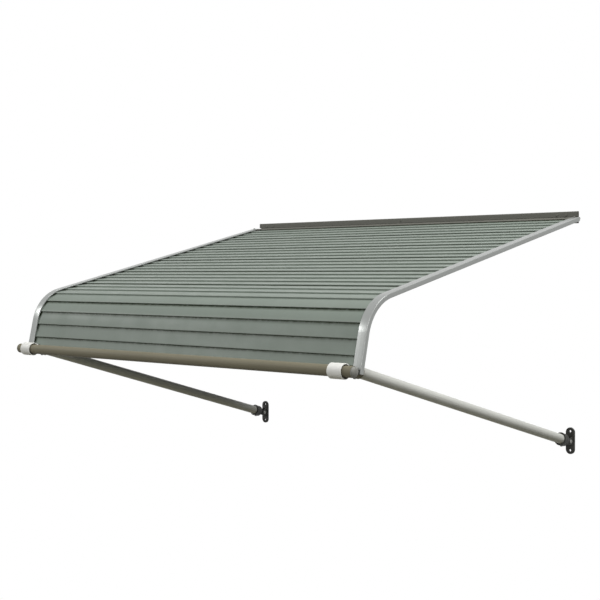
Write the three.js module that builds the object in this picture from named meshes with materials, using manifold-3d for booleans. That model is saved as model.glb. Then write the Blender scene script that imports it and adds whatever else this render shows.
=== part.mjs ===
// Aluminium door canopy: seven ribbed panels held between two bent channel rafters, hung on a wall header at the
// back and propped at the front by two tube arms that run from the front bar down to wall brackets.
// Millimetres. X runs along the width, the wall is the plane Y = 0, the canopy stands out towards -Y, +Z is up.
// The origin is on the header's back face, mid-width, level with the first rib line of the roof.
import * as THREE from "three";
import { mergeVertices } from "three/addons/utils/BufferGeometryUtils.js";
import Module from "manifold-3d";

const wasm = await Module();
wasm.setup();

// Driving dimensions of the canopy
const WIDTH = 1219.2; // over the outer faces of the rafters
const RIB_PITCH = 36; // developed distance from one rib line to the next
const RIBS_PER_PANEL = 4;
const ROOF_PANELS = 6;
const ROOF_SLOPE = THREE.MathUtils.degToRad(13.73);
const BEND_ANGLE = THREE.MathUtils.degToRad(63.7); // from the roof round to the front drop
const BEND_RADIUS = 108.6; // at the rib line
const BEND_LEAD = 60.8; // developed length of bend that the last roof panel takes
const FIRST_RIB_OUT = 21.2; // first rib line to the wall

// Ribbed panels
const RIB_STEP = 3.6; // drop at each lap
const SHEET = 0.7;
const PANEL_LAP = 9; // flange that tucks under the panel behind
const PANEL_HOOK = 1.2; // upturned edge of that flange
const PANEL_HEM = 4; // return lip under a panel's front edge
const PANEL_END_GAP = 2; // panel end to the rafter's web
const FRONT_TRIM = 5; // taken off the front panel's last rib
const CORNER_NOTCH = 10; // height cut from the front panel's lower corners for the arms' necks

// Rafters: channels, open inboard, that hold the panel ends
const RAFTER_WIDTH = 23.6;
const RAFTER_WALL = 2;
const PANEL_PLAY_ABOVE = 1.6; // rib line to the outer flange
const PANEL_PLAY_BELOW = 1.2; // panel's underside to the inner flange
const RAFTER_LIP_CLEAR = 0.4; // rib line to the lip along the outer flange's inboard edge
const RAFTER_REAR = 1.5; // rear end, in front of the first rib line
const RAFTER_FRONT = 3; // past the last rib line, at the foot

// Wall header and the rear rail that hooks into it
const HEADER_INSET = 15.6; // each end, from the rafters' outer faces
const HEADER_TOP = 19.5;
const HEADER_BOTTOM = -9.8;
const HEADER_DEPTH = 8;
const HEADER_WALL = 1.6;
const FASCIA_BOTTOM = 5.4;
const BEAD_RADIUS = 2.4;
const WALL_HOLE_RADIUS = 2.6;
const WALL_HOLE_LEVEL = -4;
const WALL_HOLES = 4; // evenly spaced along the header
const WALL_HOLE_INSET = 144; // end hole from the header's end
const WEEP_RADIUS = 2;
const RAIL_WALL = 1.4;
const RAIL_HEADROOM = 3.9; // rail's top edge to the header's top wall
const RAIL_BOTTOM = -1;
const RAIL_LIP_BACK = 4.2; // front edge of the rail's lip, behind the first rib line
const RAIL_LIP_RISE = 2.7; // lip's front edge above the panels' steps
const RAIL_WEB_DROP = 1; // top of the web that carries the lip, below the fascia
const RAIL_WEB_REACH = 1.6; // of that web, past the fascia
const TAB_LENGTH = 22;
const TAB_START = -8; // from the first rib line, towards the front
const TAB_REACH = 5; // inboard of the rafter
const TAB_SCREW_SHARE = 0.7; // of the tab's length
const FASCIA_SCREW_INSETS = [77.6, 49.6]; // from the rafters' outer faces
const FASCIA_SCREW_LEVEL = 10;

// Front bar, its caps and the saddles that stand it off the rafters
const TUBE_RADIUS = 12.7;
const TUBE_WALL = 1.2;
const BAR_INSET = 1; // each end, from the rafters' outer faces
const BAR_DROP = 2.3; // bar axis past the last rib line
const BOLT_RISE = 4; // bolt that holds the bar, above the bar axis
const CAP_SHY = 0.5; // tube's edge left bare around the cap's rim
const CAP_RIM = 2;
const CAP_DOME = 5.5;
const CAP_CROWN = [0.75, 0.4]; // shares of the rim's radius at which the dome turns flatter, then flat
const CAP_PLUG = 7;
const SADDLE_WIDTH = 18;
const SADDLE_LENGTH = 16;
const SADDLE_SEAT = 8.7; // rafter's face to the back of the bar
const SADDLE_FOOT_TRIM = 5; // taken off the saddle's lower end

// Arms
const ARM_INSET = 13; // arm axis inboard of the rafter
const ARM_RISE = 10; // arm axis above the bar axis, square to the arm
const COLLAR_WALL = 4.4;
const COLLAR_LENGTH = 39.5;
const COLLAR_OFFSET = 6.2; // collar's middle inboard of the arm axis
const COLLAR_RECESS = 5;
const COLLAR_RECESS_STEP = 2.4; // the recess at each end is wider than the bore by this much
const NECK_RADIUS = 6.5;
const FERRULE_CLEAR = 2.5; // rafter's inner face to the ferrule
const FERRULE_LENGTH = 24;
const FERRULE_SHELL = 2;
const FERRULE_WALL = 2; // end wall
const SPIGOT_LENGTH = 20;
const SOCKET_SHELL = 3.5;
const SOCKET_RIM = 0.9; // flare of the socket's mouth
const SOCKET_RIM_LENGTH = 3;
const SOCKET_RIM_TAPER = 1.5;
const SOCKET_SHOULDER = 2;
const SOCKET_DEPTH = 22;
const SOCKET_FLOOR = 4;
const SOCKET_GAP = 13; // pivot to the socket's floor
const TONGUE_WIDTH = 10;
const KNUCKLE_RADIUS = 8.5;

// Wall brackets
const RIGHT_BRACKET_DROP = 589.5; // pivot below the first rib line
const LEFT_BRACKET_DROP = 600.5;
const PIVOT_OUT = 17; // pivot axis from the wall
const PLATE_HEIGHT = 71;
const PLATE_WIDTH = 26;
const PLATE_THICKNESS = 5.5;
const PLATE_HOLE_RADIUS = 3.5;
const PLATE_HOLE_SPACING = 50.8;
const EAR_WIDTH = 4.2;
const PIN_RADIUS = 3;
const PIN_HEAD_LIP = 2.2;
const PIN_HEAD = 2.4;
const EAR_FLARE = 3; // how much wider the ears are at the plate, each way
const EAR_FOOT = 1; // length of that wider part in front of the plate

// Screws
const SCREW_RADIUS = 1.7;
const SCREW_HEAD_RADIUS = 3.6;
const SCREW_HEAD = 1.9;
const SCREW_PLAY = 0.4; // hole past the shank, all round
const BOLT_RADIUS = 2.2;
const BOLT_HEAD_RADIUS = 4;
const HEAD_CROWN = 0.6; // flat share of a screw head's radius
const HEAD_SIDE = 0.4; // straight share of a screw head's height
const SCREW_GRIP = 5; // how far a tube screw reaches past the tube's wall

const GAP = 0.3; // between pieces that touch
const EASE = 0.9; // eased edge of a moulded or turned piece
const BEND_STEPS = 14;
const RIB_STEPS_IN_BEND = 4;
const ROUND = 28; // sides of a round piece
const SMALL_ROUND = 14; // sides of a screw or a small hole

// Places worked out from the driving dimensions
const HALF_WIDTH = WIDTH / 2;
const RAFTER_INSIDE = HALF_WIDTH - RAFTER_WIDTH;
const RAFTER_MIDDLE = HALF_WIDTH - RAFTER_WIDTH / 2;
const RAFTER_ABOVE = PANEL_PLAY_ABOVE + RAFTER_WALL; // outer face above the rib line
const RAFTER_BELOW = RIB_STEP + SHEET + PANEL_PLAY_BELOW + RAFTER_WALL; // inner face below the rib line
const PANEL_END = HALF_WIDTH - RAFTER_WALL - PANEL_END_GAP;
const ROOF_LENGTH = ROOF_PANELS * RIBS_PER_PANEL * RIB_PITCH;
const BEND_START = ROOF_LENGTH - BEND_LEAD;
const BEND_LENGTH = BEND_RADIUS * BEND_ANGLE;
const BEND_END = BEND_START + BEND_LENGTH;
const LAST_RIB = ROOF_LENGTH + RIBS_PER_PANEL * RIB_PITCH;
const BAR_RUN = LAST_RIB + BAR_DROP;
const BOLT_RUN = BAR_RUN - BOLT_RISE;
const BAR_HALF = HALF_WIDTH - BAR_INSET;
const BAR_STANDOFF = RAFTER_ABOVE + SADDLE_SEAT + TUBE_RADIUS; // bar axis in front of the rib line
const TUBE_BORE = TUBE_RADIUS - TUBE_WALL;
const TUBE_SEAT = TUBE_RADIUS + GAP; // bore of a piece that goes over a tube
const ARM_PLACE = RAFTER_INSIDE - ARM_INSET;
const COLLAR_RADIUS = TUBE_SEAT + COLLAR_WALL;
const FERRULE_START = BAR_STANDOFF + RAFTER_BELOW + FERRULE_CLEAR; // from the bar axis, along the arm
const FERRULE_RADIUS = TUBE_SEAT + FERRULE_SHELL;
const SOCKET_RADIUS = TUBE_SEAT + SOCKET_SHELL;
const SOCKET_RIM_RADIUS = SOCKET_RADIUS + SOCKET_RIM;
const SCREW_HOLE_RADIUS = SCREW_RADIUS + SCREW_PLAY;
const BOLT_HOLE_RADIUS = BOLT_RADIUS + SCREW_PLAY;
const SIDES = [
  [-1, "left"],
  [1, "right"],
];

// The angle of the canopy's side view at a run, below the horizontal. A run is the developed distance from the
// first rib line towards the front.
function sideAngle(run) {
  return ROOF_SLOPE + THREE.MathUtils.clamp((run - BEND_START) / BEND_RADIUS, 0, BEND_ANGLE);
}

// A point of the side view, as [Y, Z]: out is its height above the rib line, square to it.
function sidePoint(run, out) {
  const angle = sideAngle(run);
  const straight = Math.min(run, BEND_START);
  const drop = Math.max(run - BEND_END, 0);
  const forward =
    straight * Math.cos(ROOF_SLOPE) +
    BEND_RADIUS * (Math.sin(angle) - Math.sin(ROOF_SLOPE)) +
    drop * Math.cos(angle) +
    out * Math.sin(angle);
  const down =
    straight * Math.sin(ROOF_SLOPE) +
    BEND_RADIUS * (Math.cos(ROOF_SLOPE) - Math.cos(angle)) +
    drop * Math.sin(angle) -
    out * Math.cos(angle);
  return [-FIRST_RIB_OUT - forward, -down];
}

const [BAR_Y, BAR_Z] = sidePoint(BAR_RUN, BAR_STANDOFF);

// Solids: three.js geometry in, joined and cut as closed bodies, three.js geometry out
function toSolid(geometry) {
  const bare = geometry.clone();
  bare.deleteAttribute("normal");
  bare.deleteAttribute("uv");
  const merged = mergeVertices(bare, 1e-4);
  return new wasm.Manifold(
    new wasm.Mesh({
      numProp: 3,
      vertProperties: new Float32Array(merged.attributes.position.array),
      triVerts: new Uint32Array(merged.index.array),
    }),
  );
}

function toGeometry(solid) {
  const mesh = solid.getMesh();
  const geometry = new THREE.BufferGeometry();
  geometry.setAttribute("position", new THREE.BufferAttribute(mesh.vertProperties, 3));
  geometry.setIndex(new THREE.BufferAttribute(mesh.triVerts, 1));
  geometry.computeVertexNormals();
  return geometry;
}

function join(...geometries) {
  return toGeometry(geometries.map(toSolid).reduce((whole, piece) => whole.add(piece)));
}

function cut(geometry, ...tools) {
  return toGeometry(tools.map(toSolid).reduce((rest, tool) => rest.subtract(tool), toSolid(geometry)));
}

// Extrudes a side-view outline, a list of [Y, Z] points or a THREE.Shape, from one X to another.
const SIDE_VIEW = new THREE.Matrix4().makeBasis(
  new THREE.Vector3(0, 1, 0),
  new THREE.Vector3(0, 0, 1),
  new THREE.Vector3(1, 0, 0),
);
function prism(outline, fromX, toX, steps = ROUND) {
  const shape = Array.isArray(outline) ? new THREE.Shape(outline.map((at) => new THREE.Vector2(...at))) : outline;
  const options = { depth: toX - fromX, bevelEnabled: false, curveSegments: steps };
  return new THREE.ExtrudeGeometry(shape, options).applyMatrix4(SIDE_VIEW).translate(fromX, 0, 0);
}

// A round bar along X.
function barX(radius, fromX, toX, y = 0, z = 0, sides = SMALL_ROUND) {
  return new THREE.CylinderGeometry(radius, radius, toX - fromX, sides)
    .rotateZ(-Math.PI / 2)
    .translate((fromX + toX) / 2, y, z);
}

// A round bar along Y.
function barY(radius, fromY, toY, x, z, sides = SMALL_ROUND) {
  return new THREE.CylinderGeometry(radius, radius, toY - fromY, sides).translate(x, (fromY + toY) / 2, z);
}

// A solid of revolution about Y, from a list of [radius, y] points that starts and ends on the axis.
function turned(profile, sides = ROUND) {
  return new THREE.LatheGeometry(profile.map(([radius, y]) => new THREE.Vector2(radius, y)), sides);
}

// A hollow solid of revolution about Y: the profile closes on itself.
function turnedRing(profile, sides = ROUND) {
  return turned([...profile, profile[0]], sides);
}

// A pan-head screw along Y: the head's bearing face is at y = 0, the shank runs to +Y.
function screw(length, radius = SCREW_RADIUS, headRadius = SCREW_HEAD_RADIUS) {
  return turned(
    [
      [0, -SCREW_HEAD],
      [headRadius * HEAD_CROWN, -SCREW_HEAD],
      [headRadius, -SCREW_HEAD * HEAD_SIDE],
      [headRadius, 0],
      [radius, 0],
      [radius, length - radius],
      [0, length],
    ],
    SMALL_ROUND,
  );
}

// Turns a piece made along +Y so that +Y points into the canopy's side view at a run, and sets it on that point.
function setOnSide(geometry, x, run, out) {
  const [y, z] = sidePoint(run, out);
  return geometry.rotateX(sideAngle(run) - Math.PI / 2).translate(x, y, z);
}

const FINISHES = {
  panel_paint: { color: 0x828980, roughness: 0.45, metalness: 0.1 },
  header_paint: { color: 0x6b6a60, roughness: 0.4, metalness: 0.3 },
  mill_aluminium: { color: 0xb9bcb8, roughness: 0.4, metalness: 0.9 },
  bar_paint: { color: 0x85836f, roughness: 0.35, metalness: 0.4 },
  arm_paint: { color: 0xc2c2bc, roughness: 0.4, metalness: 0.2 },
  white_nylon: { color: 0xdcdcd4, roughness: 0.5, metalness: 0 },
  black_casting: { color: 0x23241f, roughness: 0.5, metalness: 0.1 },
  cap_plastic: { color: 0x5d5c56, roughness: 0.5, metalness: 0 },
  zinc_steel: { color: 0x8d8d86, roughness: 0.35, metalness: 0.9 },
};

const canopy = new THREE.Group();

function addPiece(parent, name, geometry, finish) {
  const piece = new THREE.Mesh(geometry, new THREE.MeshStandardMaterial(FINISHES[finish]));
  piece.name = name;
  parent.add(piece);
}

// Runs at which an outline between two runs needs a point: its ends, and steps along the bend.
function runsBetween(from, to, bendSteps) {
  const inBend = to > BEND_START && from < BEND_END;
  const count = inBend ? bendSteps : 1;
  return Array.from({ length: count + 1 }, (_, i) => from + ((to - from) * i) / count);
}

// Ribbed panel: a lapped sheet whose flats each rise from a step to the next lap
function panelOutline(firstRib, lastRun) {
  const start = firstRib * RIB_PITCH;
  const top = [];
  const underside = [];
  for (let rib = 0; rib < RIBS_PER_PANEL; rib++) {
    const from = start + rib * RIB_PITCH;
    const to = Math.min(from + RIB_PITCH, lastRun);
    for (const run of runsBetween(from, to, RIB_STEPS_IN_BEND)) {
      const out = RIB_STEP * ((run - from) / RIB_PITCH - 1);
      top.push([run, out]);
      underside.push([run - SHEET, out - SHEET]);
    }
  }
  const edgeLevel = -RIB_STEP;
  const hem = [
    [lastRun, edgeLevel + GAP],
    [lastRun - PANEL_HEM, edgeLevel + GAP],
    [lastRun - PANEL_HEM, edgeLevel + GAP + SHEET],
    [lastRun - SHEET, edgeLevel + GAP + SHEET],
  ];
  const hook = [
    [start - PANEL_LAP, edgeLevel - SHEET],
    [start - PANEL_LAP, edgeLevel + PANEL_HOOK],
    [start - PANEL_LAP + SHEET, edgeLevel + PANEL_HOOK],
    [start - PANEL_LAP + SHEET, edgeLevel],
  ];
  return [...top, ...hem, ...underside.reverse(), ...hook].map(([run, out]) => sidePoint(run, out));
}

function addPanels() {
  for (let panel = 0; panel < ROOF_PANELS; panel++) {
    const firstRib = panel * RIBS_PER_PANEL;
    const outline = panelOutline(firstRib, (firstRib + RIBS_PER_PANEL) * RIB_PITCH);
    addPiece(canopy, `roof_panel_${panel + 1}`, prism(outline, -PANEL_END, PANEL_END), "panel_paint");
  }
  const frontEnd = LAST_RIB - FRONT_TRIM;
  const sheet = prism(panelOutline(ROOF_PANELS * RIBS_PER_PANEL, frontEnd), -PANEL_END, PANEL_END);
  const notchFrom = ARM_PLACE - 2 * NECK_RADIUS;
  const notches = SIDES.map(([side]) => {
    const block = new THREE.BoxGeometry(HALF_WIDTH - notchFrom, 4 * RIB_STEP, 2 * CORNER_NOTCH);
    return setOnSide(block, (side * (notchFrom + HALF_WIDTH)) / 2, frontEnd, -RIB_STEP);
  });
  addPiece(canopy, "front_panel", cut(sheet, ...notches), "panel_paint");
}

// Rafters: web, two flanges and the outer flange's lip, all bands of the same side view. The lip starts in front of
// the rail's tab.
function bandOutline(low, high, from = RAFTER_REAR) {
  const foot = LAST_RIB + RAFTER_FRONT;
  const runs = [from, ...runsBetween(BEND_START, BEND_END, BEND_STEPS), foot];
  const outer = runs.map((run) => sidePoint(run, high));
  const inner = runs.map((run) => sidePoint(run, low));
  return [...outer, ...inner.reverse()];
}

function alongX(side, inboard, outboard) {
  return side > 0 ? [inboard, outboard] : [-outboard, -inboard];
}

function addRafter(side, name) {
  const web = alongX(side, HALF_WIDTH - RAFTER_WALL, HALF_WIDTH);
  const flange = alongX(side, RAFTER_INSIDE, HALF_WIDTH);
  const lip = alongX(side, RAFTER_INSIDE, RAFTER_INSIDE + RAFTER_WALL);
  const lipFrom = TAB_START + TAB_LENGTH + 2 * GAP;
  const channel = join(
    prism(bandOutline(-RAFTER_BELOW, RAFTER_ABOVE), ...web),
    prism(bandOutline(RAFTER_ABOVE - RAFTER_WALL, RAFTER_ABOVE), ...flange),
    prism(bandOutline(-RAFTER_BELOW, RAFTER_WALL - RAFTER_BELOW), ...flange),
    prism(bandOutline(RAFTER_LIP_CLEAR, RAFTER_ABOVE, lipFrom), ...lip),
  );
  const middle = side * RAFTER_MIDDLE;
  const reach = 2 * RAFTER_WALL;
  const tabHole = setOnSide(barY(SCREW_HOLE_RADIUS, -reach, reach, 0, 0), middle, tabScrewRun(), RAFTER_ABOVE);
  const boltHole = setOnSide(barY(BOLT_HOLE_RADIUS, -reach, reach, 0, 0), middle, BOLT_RUN, RAFTER_ABOVE);
  addPiece(canopy, `${name}_rafter`, cut(channel, tabHole, boltHole), "mill_aluminium");
}

// Wall header: a back plate with a hook bead at its foot, a top and a front fascia
function addHeader() {
  const inside = -HEADER_DEPTH + HEADER_WALL;
  const outline = [
    [0, HEADER_BOTTOM],
    [0, HEADER_TOP],
    [-HEADER_DEPTH, HEADER_TOP],
    [-HEADER_DEPTH, FASCIA_BOTTOM],
    [inside, FASCIA_BOTTOM],
    [inside, HEADER_TOP - HEADER_WALL],
    [-HEADER_WALL, HEADER_TOP - HEADER_WALL],
    [-HEADER_WALL, HEADER_BOTTOM],
  ];
  const half = HALF_WIDTH - HEADER_INSET;
  const plate = prism(outline, -half, half);
  const bead = barX(BEAD_RADIUS, -half, half, -BEAD_RADIUS, HEADER_BOTTOM);
  const endHole = half - WALL_HOLE_INSET;
  const holePitch = (2 * endHole) / (WALL_HOLES - 1);
  const wallHoles = Array.from({ length: WALL_HOLES }, (_, i) =>
    barY(WALL_HOLE_RADIUS, -2 * HEADER_WALL, HEADER_WALL, i * holePitch - endHole, WALL_HOLE_LEVEL),
  );
  const fasciaFrom = -HEADER_DEPTH - HEADER_WALL;
  const fasciaTo = inside + HEADER_WALL;
  const screwHoles = fasciaScrewPlaces().map((x) =>
    barY(SCREW_HOLE_RADIUS, fasciaFrom, fasciaTo, x, FASCIA_SCREW_LEVEL),
  );
  const weep = barY(WEEP_RADIUS, fasciaFrom, fasciaTo, 0, FASCIA_SCREW_LEVEL);
  addPiece(canopy, "wall_header", cut(join(plate, bead), ...wallHoles, ...screwHoles, weep), "header_paint");
}

function fasciaScrewPlaces() {
  return FASCIA_SCREW_INSETS.flatMap((inset) => [inset - HALF_WIDTH, HALF_WIDTH - inset]);
}

function tabScrewRun() {
  return TAB_START + TAB_LENGTH * TAB_SCREW_SHARE;
}

// Rear rail: hangs inside the header, its lip covers the panels' back edge, its end tabs plug into the rafters
function addRearRail() {
  const front = -HEADER_DEPTH + HEADER_WALL + 2 * GAP;
  const back = front + RAIL_WALL;
  const top = HEADER_TOP - HEADER_WALL - RAIL_HEADROOM;
  const webTop = FASCIA_BOTTOM - RAIL_WEB_DROP;
  const webUnder = webTop - RAIL_WALL;
  const webOut = -HEADER_DEPTH - RAIL_WEB_REACH;
  const lipOut = RAIL_LIP_BACK - FIRST_RIB_OUT;
  const lipLevel = RAIL_LIP_RISE - RIB_STEP;
  const outline = [
    [back, RAIL_BOTTOM],
    [back, top],
    [front, top],
    [front, webTop],
    [webOut, webTop],
    [lipOut, lipLevel],
    [lipOut + RAIL_WALL, lipLevel - RAIL_WALL / 2],
    [webOut + RAIL_WALL / 2, webUnder],
    [front, webUnder],
    [front, RAIL_BOTTOM],
  ];
  const half = RAFTER_INSIDE - 2 * GAP;
  const rail = prism(outline, -half, half);
  const tabTop = RAFTER_ABOVE - RAFTER_WALL - GAP;
  const tabFrom = RAFTER_INSIDE - TAB_REACH;
  const tabs = SIDES.map(([side]) =>
    prism(
      [
        sidePoint(TAB_START, tabTop),
        sidePoint(TAB_START, tabTop - RAFTER_WALL),
        sidePoint(TAB_START + TAB_LENGTH, tabTop - RAFTER_WALL),
        sidePoint(TAB_START + TAB_LENGTH, tabTop),
      ],
      ...alongX(side, tabFrom, PANEL_END),
    ),
  );
  const holes = fasciaScrewPlaces().map((x) =>
    barY(SCREW_HOLE_RADIUS, front - RAIL_WALL, back + RAIL_WALL, x, FASCIA_SCREW_LEVEL),
  );
  const tabHoles = SIDES.map(([side]) => {
    const hole = barY(SCREW_HOLE_RADIUS, -3 * RAFTER_WALL, 3 * RAFTER_WALL, 0, 0);
    return setOnSide(hole, side * RAFTER_MIDDLE, tabScrewRun(), RAFTER_ABOVE);
  });
  addPiece(canopy, "rear_rail", cut(join(rail, ...tabs), ...holes, ...tabHoles), "header_paint");
}

function addFrameScrews() {
  const through = HEADER_WALL + RAIL_WALL + 4 * GAP;
  for (const [side, name] of SIDES) {
    FASCIA_SCREW_INSETS.forEach((inset, index) => {
      const x = side * (HALF_WIDTH - inset);
      const piece = screw(through).translate(x, -HEADER_DEPTH - GAP, FASCIA_SCREW_LEVEL);
      addPiece(canopy, `${name}_fascia_screw_${index + 1}`, piece, "header_paint");
    });
    const length = 2 * RAFTER_WALL + 2 * GAP;
    const piece = setOnSide(screw(length), side * RAFTER_MIDDLE, tabScrewRun(), RAFTER_ABOVE + GAP);
    addPiece(canopy, `${name}_rafter_screw`, piece, "zinc_steel");
  }
}

// Front bar, its end caps, and the saddle and bolt that hold it off each rafter's foot
function addFrontBar() {
  const section = new THREE.Shape().absarc(BAR_Y, BAR_Z, TUBE_RADIUS, 0, 2 * Math.PI);
  section.holes.push(new THREE.Path().absarc(BAR_Y, BAR_Z, TUBE_BORE, 0, 2 * Math.PI));
  const boltHoles = SIDES.map(([side]) => {
    const hole = barY(BOLT_HOLE_RADIUS, -4 * TUBE_WALL, 4 * TUBE_WALL, 0, 0);
    return setOnSide(hole, side * RAFTER_MIDDLE, BOLT_RUN, BAR_STANDOFF - TUBE_RADIUS);
  });
  addPiece(canopy, "front_bar", cut(prism(section, -BAR_HALF, BAR_HALF, ROUND / 2), ...boltHoles), "bar_paint");
}

function addBarFittings(side, name) {
  const plugRadius = TUBE_BORE - GAP;
  const rimRadius = TUBE_RADIUS - CAP_SHY;
  const cap = turned([
    [0, -CAP_PLUG],
    [plugRadius - EASE, -CAP_PLUG],
    [plugRadius, EASE - CAP_PLUG],
    [plugRadius, GAP],
    [rimRadius, GAP],
    [rimRadius, CAP_RIM],
    [rimRadius - EASE, CAP_RIM],
    [rimRadius * CAP_CROWN[0], CAP_RIM + CAP_DOME * CAP_CROWN[0]],
    [rimRadius * CAP_CROWN[1], CAP_RIM + CAP_DOME],
    [0, CAP_RIM + CAP_DOME],
  ]);
  cap.rotateZ((-side * Math.PI) / 2).translate(side * BAR_HALF, BAR_Y, BAR_Z);
  addPiece(canopy, `${name}_bar_cap`, cap, "cap_plastic");

  const bedFrom = RAFTER_ABOVE + GAP;
  const bedTo = BAR_STANDOFF - TUBE_RADIUS / 3;
  const saddleFrom = BAR_RUN - SADDLE_LENGTH / 2;
  const saddleTo = BAR_RUN + SADDLE_LENGTH / 2 - SADDLE_FOOT_TRIM;
  const block = prism(
    [
      sidePoint(saddleFrom, bedFrom),
      sidePoint(saddleTo, bedFrom),
      sidePoint(saddleTo, bedTo),
      sidePoint(saddleFrom, bedTo),
    ],
    side * RAFTER_MIDDLE - SADDLE_WIDTH / 2,
    side * RAFTER_MIDDLE + SADDLE_WIDTH / 2,
  );
  const cradle = barX(TUBE_SEAT, -WIDTH, WIDTH, BAR_Y, BAR_Z, ROUND);
  const hole = setOnSide(
    barY(BOLT_HOLE_RADIUS, -BAR_STANDOFF, BAR_STANDOFF, 0, 0),
    side * RAFTER_MIDDLE,
    BOLT_RUN,
    bedFrom,
  );
  addPiece(canopy, `${name}_bar_saddle`, cut(block, cradle, hole), "black_casting");

  const boltLength = BAR_STANDOFF - TUBE_RADIUS + 4 * TUBE_WALL - RAFTER_ABOVE + RAFTER_WALL;
  const bolt = screw(boltLength, BOLT_RADIUS, BOLT_HEAD_RADIUS).rotateX(Math.PI);
  const under = RAFTER_ABOVE - RAFTER_WALL - GAP;
  addPiece(canopy, `${name}_bar_bolt`, setOnSide(bolt, side * RAFTER_MIDDLE, BOLT_RUN, under), "zinc_steel");
}

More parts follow.
